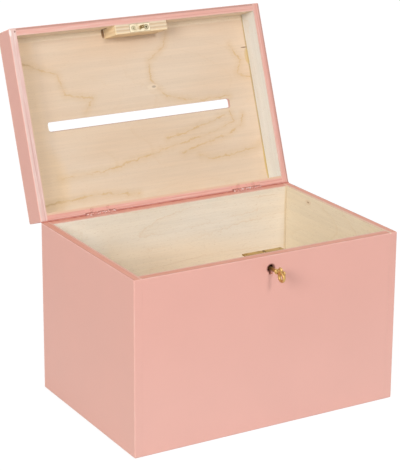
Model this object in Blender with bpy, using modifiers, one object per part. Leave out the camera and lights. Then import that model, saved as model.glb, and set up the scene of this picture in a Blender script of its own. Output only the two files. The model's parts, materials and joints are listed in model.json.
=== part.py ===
"""A lockable envelope box: a painted plywood box with a hinged lid, a posting slot, a box lock and its key.

The origin is the middle of the base's underside. +X is to the right, +Y to the back, +Z up, in metres.
Places are those of the shut box. The lid's pieces hang from an empty on the hinge axis, which is
turned back to the angle at which the lid stands open. The key's pieces hang from one on the key's axis.
"""

import math

import bmesh
import bpy
from mathutils import Matrix, Vector

MM = 0.001

# The carcass
BOX_WIDTH = 300 * MM
BOX_DEPTH = 200 * MM
BODY_HEIGHT = 180 * MM
LID_HEIGHT = 29.7 * MM
BODY_WALL = 9 * MM
LID_RAIL = 8 * MM
LID_TOP = 3 * MM
BASE_THICKNESS = 3 * MM
OUTER_ROUND = 1.2 * MM
LID_OPEN_ANGLE = math.radians(110)

# Fits between the pieces
GLUE_LINE = 0.05 * MM
GAP = 0.3 * MM
SLIDE_GAP = 0.4 * MM
TONGUE_CLEARANCE = 0.6 * MM

# The posting slot in the lid
SLOT_LENGTH = 220 * MM
SLOT_WIDTH = 10 * MM
SLOT_X = -2.2 * MM
SLOT_Y = 3.1 * MM
SLOT_CORNER = 2.5 * MM

# The two butt hinges, each placed by its middle's distance from its own end of the box
HINGE_INSET = {"left": 68.5 * MM, "right": 54.5 * MM}
HINGE_LENGTH = 34.5 * MM
HINGE_KNUCKLES = 5
LEAF_WIDTH = 7 * MM
LEAF_THICKNESS = 1 * MM
BARREL_RADIUS = 2 * MM
LEAF_INTO_BARREL = 0.5 * MM
HINGE_PIN_RADIUS = 0.8 * MM
HINGE_SETBACK = 0.3 * MM
HINGE_SCREW_SPACING = 19 * MM

# The keyhole, in the middle of the front
KEYHOLE_X = 0 * MM
KEYHOLE_BELOW_RIM = 13.5 * MM
KEYHOLE_RADIUS = 4 * MM
KEYHOLE_SLOT_WIDTH = 4.5 * MM

# The lock's plate: upright against the front wall, with a strip along the rim
LOCK_X = -1 * MM
LOCK_WIDTH = 44 * MM
LOCK_HEIGHT = 30 * MM
LOCK_SHEET = 1.2 * MM
STRIP_DEPTH = 7 * MM
STRIP_HOLE_RADIUS = 0.9 * MM
LOCK_SCREW_INSET = 2.9 * MM
LOCK_SCREW_BELOW_RIM = 9 * MM

# The lock's cap, open towards the plate, and what it covers
CAP_X = -0.8 * MM
CAP_WIDTH = 28.4 * MM
CAP_HEIGHT = 23.5 * MM
CAP_DEPTH = 5.3 * MM
CAP_SHEET = 0.8 * MM
CAP_ROUND = 1.2 * MM
CAP_BELOW_RIM = 2.5 * MM
EAR_LENGTH = 3.6 * MM
EAR_HEIGHT = 5 * MM
RIVET_RADIUS = 0.8 * MM
RIVET_HEAD_RADIUS = 1.6 * MM
RIVET_HEAD_THICKNESS = 0.6 * MM
RIVET_CHAMFER = 0.2 * MM
BOLT_THROW = 5 * MM
BOLT_BAR = 5 * MM
BOLT_TALON = 3.5 * MM
BOLT_SOLE = 2.5 * MM
BOLT_FINGER_HEIGHT = 2.6 * MM
BOLT_FINGER_THICKNESS = 1.3 * MM
BOLT_TIP_CLEARANCE = 0.8 * MM
SPRING_SHEET = 0.35 * MM
SPRING_WIDTH = 2.4 * MM
SPRING_LENGTH = 20 * MM

# The key and the pin that its hollow shank turns on
KEY_PIN_RADIUS = 0.8 * MM
KEY_PIN_LENGTH = 11.6 * MM
KEY_SHANK_RADIUS = 1.7 * MM
KEY_COLLAR_RADIUS = 2.7 * MM
KEY_COLLAR_OUT = 10.4 * MM
KEY_COLLAR_LENGTH = 2.6 * MM
KEY_BIT_RADIUS = 5.4 * MM
KEY_BIT_THICKNESS = 1.5 * MM
KEY_BIT_CLEARANCE = 0.6 * MM
KEY_WARD_WIDTH = 0.9 * MM
KEY_WARD_DEPTH = 1.6 * MM
BOW_RING_RADIUS = 2.6 * MM
BOW_WIRE_RADIUS = 0.9 * MM
BOW_STEM_RADIUS = 1.3 * MM
BOW_SIDE_RING_OUT = 17.2 * MM
BOW_SIDE_RING_UP = 4 * MM
BOW_END_RING_OUT = 22.6 * MM

# The block and the keeper plate inside the lid
BLOCK_X = 1 * MM
BLOCK_LENGTH = 62 * MM
BLOCK_DEPTH = 10 * MM
KEEPER_X = -0.5 * MM
KEEPER_LENGTH = 24 * MM
KEEPER_WIDTH = 8.4 * MM
KEEPER_SHEET = 1.2 * MM
KEEPER_SCREW_SPACING = 15.5 * MM
TONGUE_THICKNESS = 1.4 * MM
TONGUE_WIDTH = 3.4 * MM
TONGUE_LENGTH = 8 * MM
TONGUE_ROUND = 1 * MM
EYE_WIDTH = 1.9 * MM
EYE_HEIGHT = 3.2 * MM
EYE_TO_END = 1.1 * MM
EYE_ROUND = 0.6 * MM

# Countersunk screws: radius of the head, radius of the shank, length
HINGE_SCREW = (1.9 * MM, 1 * MM, 8 * MM)
LOCK_SCREW = (2 * MM, 1 * MM, 7 * MM)
KEEPER_SCREW = (2 * MM, 1 * MM, 10 * MM)
SCREW_POINT = 1.5 * MM
SCREW_TIP_RADIUS = 0.25 * MM
RECESS_WIDTH = 0.5 * MM
RECESS_DEPTH = 0.4 * MM
RECESS_SHARE = 0.65

# How finely round shapes are cut up, how far a cutter or a joined shape runs past the face that it
# meets, and the small step that keeps two joined faces out of one plane
ROUND_SEGMENTS = 24
SCREW_SEGMENTS = 16
EDGE_SEGMENTS = 3
RING_SEGMENTS = 20
WIRE_SEGMENTS = 8
ARC_STEPS = 10
BEAD_STEPS = 4
OVERRUN = 1 * MM
STEP = 0.1 * MM
SMOOTH_ANGLE = math.radians(35)
FACING = 0.99

# Places worked out from the sizes above
HALF_WIDTH = BOX_WIDTH / 2
HALF_DEPTH = BOX_DEPTH / 2
INNER_X = HALF_WIDTH - BODY_WALL
INNER_Y = HALF_DEPTH - BODY_WALL
LID_INNER_X = HALF_WIDTH - LID_RAIL
LID_INNER_Y = HALF_DEPTH - LID_RAIL
LID_BOTTOM = BODY_HEIGHT + GAP
LID_CEILING = LID_BOTTOM + LID_HEIGHT - LID_TOP
HINGE_AXIS = Vector((0, HALF_DEPTH + HINGE_SETBACK, BODY_HEIGHT + GAP / 2))
HINGE_X = {"left": HINGE_INSET["left"] - HALF_WIDTH, "right": HALF_WIDTH - HINGE_INSET["right"]}
KEY_Z = BODY_HEIGHT - KEYHOLE_BELOW_RIM
PLATE_FRONT = -INNER_Y + GAP
PLATE_BACK = PLATE_FRONT + LOCK_SHEET
CAP_FRONT = PLATE_BACK + GAP
CAP_BACK = CAP_FRONT + CAP_DEPTH
CAP_INSIDE_BACK = CAP_BACK - CAP_SHEET
CAP_TOP = BODY_HEIGHT - CAP_BELOW_RIM
CAP_FLOOR = CAP_TOP - CAP_HEIGHT + CAP_SHEET
CAP_MIDDLE = CAP_TOP - CAP_HEIGHT / 2
TONGUE_Y = CAP_INSIDE_BACK - TONGUE_CLEARANCE - TONGUE_WIDTH / 2
TONGUE_END = LID_BOTTOM - TONGUE_LENGTH
EYE_Z = TONGUE_END + EYE_TO_END + EYE_HEIGHT / 2
BIT_SWEEP = math.hypot(KEY_BIT_RADIUS, KEY_BIT_THICKNESS / 2) + GAP
SOLE_TOP = KEY_Z - BIT_SWEEP
KEY_TIP = CAP_INSIDE_BACK - SLIDE_GAP

# Turns that point a screw's or a key's own +Z axis another way
FACE_DOWN = (math.pi, 0, 0)
FACE_BACK = (-math.pi / 2, 0, 0)
FACE_FRONT = (math.pi / 2, 0, 0)

# Colours, as linear red, green and blue
PAINT_PINK = (0.807, 0.445, 0.376)
BIRCH = (0.776, 0.610, 0.430)
BRASS = (0.750, 0.520, 0.210)
STEEL = (0.560, 0.560, 0.570)


def clear_scene():
    for thing in list(bpy.data.objects):
        bpy.data.objects.remove(thing, do_unlink=True)


def new_collection(name):
    made = bpy.data.collections.new(name)
    bpy.context.scene.collection.children.link(made)
    return made


def new_material(name, colour, roughness, metallic=0.0):
    made = bpy.data.materials.new(name)
    made.use_nodes = True
    made.diffuse_color = (*colour, 1)
    shader = made.node_tree.nodes["Principled BSDF"]
    shader.inputs["Base Color"].default_value = (*colour, 1)
    shader.inputs["Roughness"].default_value = roughness
    shader.inputs["Metallic"].default_value = metallic
    return made


clear_scene()
PARTS = new_collection("envelope_box")
CUTTERS = new_collection("cutters")
PAINTED = new_material("painted_pink", PAINT_PINK, 0.5)
PLYWOOD = new_material("birch_plywood", BIRCH, 0.6)
BRASS_SHEET = new_material("brass", BRASS, 0.3, 1.0)
PLATED_STEEL = new_material("zinc_plated_steel", STEEL, 0.35, 1.0)


def mesh_from(bm, name):
    bmesh.ops.recalc_face_normals(bm, faces=bm.faces)
    mesh = bpy.data.meshes.new(name)
    bm.to_mesh(mesh)
    bm.free()
    return mesh


def box(size, soft=(), radius=0.0):
    """A box round the origin. Each of soft is an edge, told by the signs of its middle, rounded to radius."""
    bm = bmesh.new()
    bmesh.ops.create_cube(bm, size=1)
    bmesh.ops.scale(bm, vec=size, verts=bm.verts)
    edges = []
    for edge in bm.edges:
        middle = (edge.verts[0].co + edge.verts[1].co) / 2
        if tuple(round(2 * middle[i] / size[i]) for i in range(3)) in soft:
            edges.append(edge)
    if edges:
        bmesh.ops.bevel(
            bm,
            geom=edges,
            offset=radius,
            offset_type="OFFSET",
            segments=EDGE_SEGMENTS,
            profile=0.5,
            affect="EDGES",
        )
    return mesh_from(bm, "box")


def rod(radius, length, axis="Z", segments=ROUND_SEGMENTS):
    """A cylinder round the origin, along the named axis."""
    bm = bmesh.new()
    bmesh.ops.create_cone(
        bm, cap_ends=True, segments=segments, radius1=radius, radius2=radius, depth=length
    )
    if axis != "Z":
        turn = Matrix.Rotation(math.pi / 2, 3, "Y" if axis == "X" else "X")
        bmesh.ops.rotate(bm, cent=(0, 0, 0), matrix=turn, verts=bm.verts)
    return mesh_from(bm, "rod")


def ring(radius, wire):
    """A ring of round wire about the X axis."""
    bpy.ops.mesh.primitive_torus_add(
        major_radius=radius,
        minor_radius=wire,
        major_segments=RING_SEGMENTS,
        minor_segments=WIRE_SEGMENTS,
        rotation=(0, math.pi / 2, 0),
    )
    made = bpy.context.active_object
    mesh = made.data
    mesh.transform(made.matrix_world)
    bpy.data.objects.remove(made, do_unlink=True)
    return mesh


def settled(made):
    """The object's mesh with its modifiers applied. The object itself is removed."""
    bpy.context.view_layer.update()
    evaluated = made.evaluated_get(bpy.context.evaluated_depsgraph_get())
    mesh = bpy.data.meshes.new_from_object(evaluated)
    bpy.data.objects.remove(made, do_unlink=True)
    return mesh


def turned(profile, segments=ROUND_SEGMENTS):
    """A profile of (radius, height) points, listed from the top down, turned about Z."""
    bm = bmesh.new()
    points = [bm.verts.new((radius, 0, height)) for radius, height in profile]
    for upper, lower in zip(points, points[1:]):
        bm.edges.new((upper, lower))
    mesh = bpy.data.meshes.new("profile")
    bm.to_mesh(mesh)
    bm.free()
    made = bpy.data.objects.new("turned", mesh)
    CUTTERS.objects.link(made)
    screw = made.modifiers.new("turn", "SCREW")
    screw.steps = segments
    screw.render_steps = segments
    screw.use_merge_vertices = True
    screw.merge_threshold = 0.00001
    return settled(made)


def hang(made, place, turn, parent):
    made.rotation_euler = turn
    made.location = Vector(place)
    if parent:
        made.parent = parent
        made.location -= parent.location


def piece(name, mesh, place, material, turn=(0, 0, 0), parent=None):
    """A part of the box: its mesh's origin goes to place, and it moves with parent."""
    if not mesh.materials:
        mesh.materials.append(material)
    if isinstance(mesh, bpy.types.Mesh):
        mesh.shade_smooth()
        mesh.set_sharp_from_angle(angle=SMOOTH_ANGLE)
    made = bpy.data.objects.new(name, mesh)
    hang(made, place, turn, parent)
    PARTS.objects.link(made)
    return made


def shape_into(made, operation, mesh, place, turn=(0, 0, 0), parent=None):
    """Joins a shape onto a part, or cuts it out, with a Boolean. The helper is hidden and returned."""
    helper = bpy.data.objects.new(made.name + "_" + operation.lower(), mesh)
    hang(helper, place, turn, parent)
    helper.hide_render = True
    helper.display_type = "WIRE"
    CUTTERS.objects.link(helper)
    use_helper(made, operation, helper)
    return helper


def use_helper(made, operation, helper):
    boolean = made.modifiers.new(operation.lower(), "BOOLEAN")
    boolean.operation = operation
    boolean.object = helper
    boolean.solver = "EXACT"


def join(made, mesh, place, parent=None):
    return shape_into(made, "UNION", mesh, place, parent=parent)


def cut(made, mesh, place, parent=None):
    return shape_into(made, "DIFFERENCE", mesh, place, parent=parent)


def middle_and_size(low, high):
    low, high = Vector(low), Vector(high)
    return (low + high) / 2, high - low


def block(name, low, high, material, soft=(), radius=0.0, parent=None):
    """A part that is a box between two corners."""
    middle, size = middle_and_size(low, high)
    return piece(name, box(size, soft, radius), middle, material, parent=parent)


def cut_box(made, low, high, soft=(), radius=0.0, parent=None):
    middle, size = middle_and_size(low, high)
    return cut(made, box(size, soft, radius), middle, parent)


def join_box(made, low, high, parent=None):
    middle, size = middle_and_size(low, high)
    return join(made, box(size), middle, parent)


def joint_empty(name, place, turn=(0, 0, 0)):
    """An empty on a joint's axis, from which the pieces that move there hang."""
    empty = bpy.data.objects.new(name, None)
    empty.location = place
    empty.rotation_euler = turn
    empty.empty_display_size = 20 * MM
    PARTS.objects.link(empty)
    return empty


def bare_inside(made, inwards):
    """Leaves the faces that look inwards as bare plywood under the paint's edge."""
    made.data.materials.append(PLYWOOD)
    for face in made.data.polygons:
        if face.normal.dot(Vector(inwards)) > FACING:
            face.material_index = 1


def side_edges(side):
    """The edges of a board that runs the full depth on one side: all those on the outside."""
    upright = [(side, -1, 0), (side, 1, 0)]
    above = [(side, 0, 1), (0, -1, 1), (0, 1, 1)]
    below = [(side, 0, -1), (0, -1, -1), (0, 1, -1)]
    return upright, above, below


def body_panels():
    """Side panels run the full depth; the front and back stand between them, and the base lies inside."""
    panels = {}
    for name, side in (("left_panel", -1), ("right_panel", 1)):
        near, far = sorted((side * INNER_X, side * HALF_WIDTH))
        upright, above, below = side_edges(side)
        panels[name] = block(
            name,
            (near, -HALF_DEPTH, 0),
            (far, HALF_DEPTH, BODY_HEIGHT),
            PAINTED,
            upright + above + below,
            OUTER_ROUND,
        )
        bare_inside(panels[name], (-side, 0, 0))
    for name, side in (("front_panel", -1), ("back_panel", 1)):
        near, far = sorted((side * INNER_Y, side * HALF_DEPTH))
        panels[name] = block(
            name,
            (-INNER_X + GLUE_LINE, near, 0),
            (INNER_X - GLUE_LINE, far, BODY_HEIGHT),
            PAINTED,
            [(0, side, 1), (0, side, -1)],
            OUTER_ROUND,
        )
        bare_inside(panels[name], (0, -side, 0))
    block(
        "base_panel",
        (-INNER_X + GLUE_LINE, -INNER_Y + GLUE_LINE, 0),
        (INNER_X - GLUE_LINE, INNER_Y - GLUE_LINE, BASE_THICKNESS),
        PLYWOOD,
    )
    return panels


def lid_boards(lid):
    """Four rails jointed as the body is, with the slotted top lying on them."""
    boards = {}
    rail_top = LID_CEILING - GLUE_LINE
    for name, side in (("lid_left_rail", -1), ("lid_right_rail", 1)):
        near, far = sorted((side * LID_INNER_X, side * HALF_WIDTH))
        upright, _, below = side_edges(side)
        boards[name] = block(
            name,
            (near, -HALF_DEPTH, LID_BOTTOM),
            (far, HALF_DEPTH, rail_top),
            PAINTED,
            upright + below,
            OUTER_ROUND,
            lid,
        )
        bare_inside(boards[name], (-side, 0, 0))
    for name, side in (("lid_front_rail", -1), ("lid_back_rail", 1)):
        near, far = sorted((side * LID_INNER_Y, side * HALF_DEPTH))
        boards[name] = block(
            name,
            (-LID_INNER_X + GLUE_LINE, near, LID_BOTTOM),
            (LID_INNER_X - GLUE_LINE, far, rail_top),
            PAINTED,
            [(0, side, -1)],
            OUTER_ROUND,
            lid,
        )
        bare_inside(boards[name], (0, -side, 0))
    corners = [(x, y, 0) for x in (-1, 1) for y in (-1, 1)]
    top_edges = [(-1, 0, 1), (1, 0, 1), (0, -1, 1), (0, 1, 1)]
    boards["lid_panel"] = block(
        "lid_panel",
        (-HALF_WIDTH, -HALF_DEPTH, LID_CEILING),
        (HALF_WIDTH, HALF_DEPTH, LID_BOTTOM + LID_HEIGHT),
        PAINTED,
        corners + top_edges,
        OUTER_ROUND,
        lid,
    )
    bare_inside(boards["lid_panel"], (0, 0, -1))
    cut_box(
        boards["lid_panel"],
        (SLOT_X - SLOT_LENGTH / 2, SLOT_Y - SLOT_WIDTH / 2, LID_CEILING - OVERRUN),
        (SLOT_X + SLOT_LENGTH / 2, SLOT_Y + SLOT_WIDTH / 2, LID_CEILING + LID_TOP + OVERRUN),
        corners,
        SLOT_CORNER,
        lid,
    )
    return boards


def screw_profile(screw, spare=0.0):
    """A countersunk screw's outline from its flat top down. Spare is the room left round it in a hole."""
    head, shank, length = screw
    point = 0 if spare else SCREW_POINT
    sink = head - shank
    outline = [(0, 0), (head + spare, 0)]
    if spare:
        outline = [(0, OVERRUN), (head + spare, OVERRUN), (head + spare, 0)]
    outline.append((shank + spare, -sink))
    outline.append((shank + spare, -length + point - spare))
    if point:
        outline.append((SCREW_TIP_RADIUS, -length))
    outline.append((0, -length - spare))
    return outline


def screw_mesh(screw):
    """The screw with a cross recess in its head."""
    across = 2 * RECESS_SHARE * screw[0]
    made = bpy.data.objects.new("screw", turned(screw_profile(screw), SCREW_SEGMENTS))
    CUTTERS.objects.link(made)
    helpers = [
        cut(made, box((across, RECESS_WIDTH, 2 * RECESS_DEPTH)), (0, 0, 0)),
        cut(made, box((RECESS_WIDTH, across, 2 * RECESS_DEPTH)), (0, 0, 0)),
    ]
    mesh = settled(made)
    for helper in helpers:
        bpy.data.objects.remove(helper, do_unlink=True)
    return mesh


def drive(name, screw, mesh, place, turn, through, material, parent=None):
    """Puts a screw at place and cuts its hole in each piece that it goes through."""
    piece(name, mesh, place, material, turn, parent)
    hole = None
    for pierced in through:
        if hole:
            use_helper(pierced, "DIFFERENCE", hole)
        else:
            shape = turned(screw_profile(screw, GAP), SCREW_SEGMENTS)
            hole = shape_into(pierced, "DIFFERENCE", shape, place, turn, parent)


def hinge_leaf(name, x, below, own_knuckles, board, parent=None):
    """One leaf with its knuckles, let into the rim of its board. Below is true for the body's leaf."""
    top = BODY_HEIGHT if below else LID_BOTTOM + LEAF_THICKNESS
    start = x - HINGE_LENGTH / 2
    near = HINGE_AXIS.y - LEAF_WIDTH
    leaf = block(
        name,
        (start, near, top - LEAF_THICKNESS),
        (start + HINGE_LENGTH, HINGE_AXIS.y - BARREL_RADIUS + LEAF_INTO_BARREL, top),
        PLATED_STEEL,
        parent=parent,
    )
    pitch = HINGE_LENGTH / HINGE_KNUCKLES
    for i in range(HINGE_KNUCKLES):
        knuckle_x = start + (i + 0.5) * pitch
        if i in own_knuckles:
            join(
                leaf,
                rod(BARREL_RADIUS, pitch - GAP, "X"),
                (knuckle_x, HINGE_AXIS.y, HINGE_AXIS.z),
                parent,
            )
        else:
            reach = pitch / 2 + (OVERRUN if i in (0, HINGE_KNUCKLES - 1) else 0)
            cut_box(
                leaf,
                (knuckle_x - reach, HINGE_AXIS.y - BARREL_RADIUS - GAP, top - 2 * LEAF_THICKNESS),
                (knuckle_x + reach, HINGE_AXIS.y, top + LEAF_THICKNESS),
                parent=parent,
            )
    bore = rod(HINGE_PIN_RADIUS + GAP, HINGE_LENGTH + 2 * OVERRUN, "X")
    cut(leaf, bore, (x, HINGE_AXIS.y, HINGE_AXIS.z), parent)
    let_in_hinge(board, x, below, parent)
    return leaf


def let_in_hinge(board, x, below, parent):
    """The shallow pocket for a leaf and the deeper notch for the barrel."""
    face = BODY_HEIGHT if below else LID_BOTTOM
    inward = -1 if below else 1
    half_length = HINGE_LENGTH / 2 + GAP
    pocket = (HINGE_AXIS.y - LEAF_WIDTH - GAP, face + inward * (LEAF_THICKNESS + GAP))
    notch_depth = BARREL_RADIUS + GAP
    notch = (HINGE_AXIS.y - notch_depth, HINGE_AXIS.z + inward * notch_depth)
    for near, deep in (pocket, notch):
        low_z, high_z = sorted((face - inward * OVERRUN, deep))
        cut_box(
            board,
            (x - half_length, near, low_z),
            (x + half_length, HALF_DEPTH + OVERRUN, high_z),
            parent=parent,
        )


def hinges(panels, boards, lid):
    screw = screw_mesh(HINGE_SCREW)
    body_knuckles = range(0, HINGE_KNUCKLES, 2)
    lid_knuckles = range(1, HINGE_KNUCKLES, 2)
    screw_y = HINGE_AXIS.y - (LEAF_WIDTH + BARREL_RADIUS + GAP) / 2
    for side, x in HINGE_X.items():
        body_leaf = hinge_leaf(
            side + "_hinge_body_leaf", x, True, body_knuckles, panels["back_panel"]
        )
        lid_leaf = hinge_leaf(
            side + "_hinge_lid_leaf", x, False, lid_knuckles, boards["lid_back_rail"], lid
        )
        pin = rod(HINGE_PIN_RADIUS, HINGE_LENGTH, "X", SCREW_SEGMENTS)
        piece(side + "_hinge_pin", pin, (x, HINGE_AXIS.y, HINGE_AXIS.z), PLATED_STEEL)
        for number, way in enumerate((-1, 1), 1):
            screw_x = x + way * HINGE_SCREW_SPACING / 2
            drive(
                f"{side}_hinge_body_screw_{number}",
                HINGE_SCREW,
                screw,
                (screw_x, screw_y, BODY_HEIGHT),
                (0, 0, 0),
                (body_leaf, panels["back_panel"]),
                PLATED_STEEL,
            )
            drive(
                f"{side}_hinge_lid_screw_{number}",
                HINGE_SCREW,
                screw,
                (screw_x, screw_y, LID_BOTTOM),
                FACE_DOWN,
                (lid_leaf, boards["lid_back_rail"]),
                PLATED_STEEL,
                lid,
            )


def keeper(lid):
    """The block glued behind the lid's front rail, and the keeper plate let into its lower face."""
    lock_block = block(
        "lock_block",
        (BLOCK_X - BLOCK_LENGTH / 2, -LID_INNER_Y + GLUE_LINE, LID_BOTTOM),
        (BLOCK_X + BLOCK_LENGTH / 2, -LID_INNER_Y + BLOCK_DEPTH, LID_CEILING - GLUE_LINE),
        PLYWOOD,
        parent=lid,
    )
    half_length, half_width = KEEPER_LENGTH / 2, KEEPER_WIDTH / 2
    cut_box(
        lock_block,
        (KEEPER_X - half_length - GAP, TONGUE_Y - half_width - GAP, LID_BOTTOM - OVERRUN),
        (KEEPER_X + half_length + GAP, TONGUE_Y + half_width + GAP, LID_BOTTOM + KEEPER_SHEET + GAP),
        parent=lid,
    )
    plate = block(
        "keeper_plate",
        (KEEPER_X - half_length, TONGUE_Y - half_width, LID_BOTTOM),
        (KEEPER_X + half_length, TONGUE_Y + half_width, LID_BOTTOM + KEEPER_SHEET),
        BRASS_SHEET,
        parent=lid,
    )
    root = KEEPER_SHEET / 2
    tongue = box(
        (TONGUE_THICKNESS, TONGUE_WIDTH, TONGUE_LENGTH + root), [(0, -1, -1), (0, 1, -1)], TONGUE_ROUND
    )
    join(plate, tongue, (KEYHOLE_X, TONGUE_Y, (TONGUE_END + LID_BOTTOM + root) / 2), lid)
    eye_edges = [(0, y, z) for y in (-1, 1) for z in (-1, 1)]
    eye = box((TONGUE_THICKNESS + 2 * OVERRUN, EYE_WIDTH, EYE_HEIGHT), eye_edges, EYE_ROUND)
    cut(plate, eye, (KEYHOLE_X, TONGUE_Y, EYE_Z), lid)
    screw = screw_mesh(KEEPER_SCREW)
    for number, way in enumerate((-1, 1), 1):
        drive(
            f"keeper_screw_{number}",
            KEEPER_SCREW,
            screw,
            (KEEPER_X + way * KEEPER_SCREW_SPACING / 2, TONGUE_Y, LID_BOTTOM),
            FACE_DOWN,
            (plate, lock_block),
            BRASS_SHEET,
            lid,
        )


def keyhole(made, radius, slot_width, near, far):
    """A round hole with a slot below it for the bit, from y near to y far."""
    cut(made, rod(radius, far - near, "Y"), (KEYHOLE_X, (near + far) / 2, KEY_Z))
    cut_box(
        made,
        (KEYHOLE_X - slot_width / 2, near, KEY_Z - KEY_BIT_RADIUS - KEY_BIT_CLEARANCE),
        (KEYHOLE_X + slot_width / 2, far, KEY_Z),
    )


def lock_plate(front_panel):
    """The upright plate behind the front wall, with its strip level with the rim."""
    left, right = LOCK_X - LOCK_WIDTH / 2, LOCK_X + LOCK_WIDTH / 2
    plate = block(
        "lock_plate",
        (left, PLATE_FRONT, BODY_HEIGHT - LOCK_HEIGHT),
        (right, PLATE_BACK, BODY_HEIGHT),
        BRASS_SHEET,
    )
    join_box(
        plate,
        (left, PLATE_FRONT, BODY_HEIGHT - LOCK_SHEET),
        (right, PLATE_FRONT + STRIP_DEPTH, BODY_HEIGHT),
    )
    half_slot = TONGUE_THICKNESS / 2 + TONGUE_CLEARANCE
    half_reach = TONGUE_WIDTH / 2 + TONGUE_CLEARANCE
    cut_box(
        plate,
        (KEYHOLE_X - half_slot, TONGUE_Y - half_reach, BODY_HEIGHT - LOCK_SHEET - OVERRUN),
        (KEYHOLE_X + half_slot, TONGUE_Y + half_reach, BODY_HEIGHT + OVERRUN),
    )
    for end in (left + LOCK_SCREW_INSET, right - LOCK_SCREW_INSET):
        hole = rod(STRIP_HOLE_RADIUS, LOCK_SHEET + 2 * OVERRUN, segments=SCREW_SEGMENTS)
        cut(plate, hole, (end, TONGUE_Y, BODY_HEIGHT - LOCK_SHEET / 2))
    keyhole(
        plate,
        KEY_SHANK_RADIUS + GAP,
        KEY_BIT_THICKNESS + 2 * GAP,
        PLATE_FRONT - OVERRUN,
        PLATE_BACK + OVERRUN,
    )
    screw = screw_mesh(LOCK_SCREW)
    upper = BODY_HEIGHT - LOCK_SCREW_BELOW_RIM
    lower = BODY_HEIGHT - LOCK_HEIGHT + LOCK_SCREW_INSET
    number = 0
    for x in (left + LOCK_SCREW_INSET, right - LOCK_SCREW_INSET):
        for z in (lower, upper):
            number += 1
            drive(
                f"lock_screw_{number}",
                LOCK_SCREW,
                screw,
                (x, PLATE_BACK, z),
                FACE_BACK,
                (plate, front_panel),
                BRASS_SHEET,
            )
    return plate


def lock_cap():
    """A tray of thin sheet, open towards the plate, with an ear at each end for its rivet."""
    back_edges = [(-1, 1, 0), (1, 1, 0), (0, 1, -1), (0, 1, 1)]
    corners = [(x, 0, z) for x in (-1, 1) for z in (-1, 1)]
    mesh = box(Vector((CAP_WIDTH, CAP_DEPTH, CAP_HEIGHT)), back_edges + corners, CAP_ROUND)
    bm = bmesh.new()
    bm.from_mesh(mesh)
    open_side = [face for face in bm.faces if face.normal.y < -FACING]
    bmesh.ops.delete(bm, geom=open_side, context="FACES")
    bm.to_mesh(mesh)
    bm.free()
    cap = piece("lock_cap", mesh, (CAP_X, (CAP_FRONT + CAP_BACK) / 2, CAP_MIDDLE), BRASS_SHEET)
    shell = cap.modifiers.new("sheet", "SOLIDIFY")
    shell.thickness = CAP_SHEET
    shell.offset = -1
    shell.use_even_offset = True
    for way in (-1, 1):
        near, far = sorted((way * (CAP_WIDTH / 2 - CAP_SHEET / 2), way * (CAP_WIDTH / 2 + EAR_LENGTH)))
        join_box(
            cap,
            (CAP_X + near, CAP_FRONT, CAP_MIDDLE - EAR_HEIGHT / 2),
            (CAP_X + far, CAP_FRONT + CAP_SHEET, CAP_MIDDLE + EAR_HEIGHT / 2),
        )
    half_slot = TONGUE_THICKNESS / 2 + TONGUE_CLEARANCE
    cut_box(
        cap,
        (KEYHOLE_X - half_slot, CAP_FRONT - OVERRUN, CAP_TOP - CAP_SHEET - OVERRUN),
        (KEYHOLE_X + half_slot, CAP_INSIDE_BACK - GAP / 2, CAP_TOP + OVERRUN),
    )
    pin_hole = rod(KEY_PIN_RADIUS + GAP, CAP_SHEET + 2 * OVERRUN, "Y", SCREW_SEGMENTS)
    cut(cap, pin_hole, (KEYHOLE_X, CAP_BACK - CAP_SHEET / 2, KEY_Z))
    return cap


def rivet_mesh(radius, length):
    """A flat-headed pin from its head's underside down."""
    profile = [
        (0, RIVET_HEAD_THICKNESS),
        (RIVET_HEAD_RADIUS - RIVET_CHAMFER, RIVET_HEAD_THICKNESS),
        (RIVET_HEAD_RADIUS, RIVET_HEAD_THICKNESS - RIVET_CHAMFER),
        (RIVET_HEAD_RADIUS, 0),
        (radius, 0),
        (radius, -length + RIVET_CHAMFER),
        (radius - RIVET_CHAMFER, -length),
        (0, -length),
    ]
    return turned(profile, SCREW_SEGMENTS)


def cap_rivets(cap, plate):
    """A rivet through each ear and the plate behind it."""
    head_seat = CAP_FRONT + CAP_SHEET + GAP
    length = head_seat - PLATE_FRONT
    mesh = rivet_mesh(RIVET_RADIUS, length)
    for number, way in enumerate((-1, 1), 1):
        x = CAP_X + way * (CAP_WIDTH / 2 + EAR_LENGTH / 2)
        piece(f"cap_rivet_{number}", mesh, (x, head_seat, CAP_MIDDLE), BRASS_SHEET, FACE_BACK)
        shape = rod(RIVET_RADIUS + GAP, length + 2 * OVERRUN, "Y", SCREW_SEGMENTS)
        hole = cut(cap, shape, (x, head_seat - length / 2, CAP_MIDDLE))
        use_helper(plate, "DIFFERENCE", hole)


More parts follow.
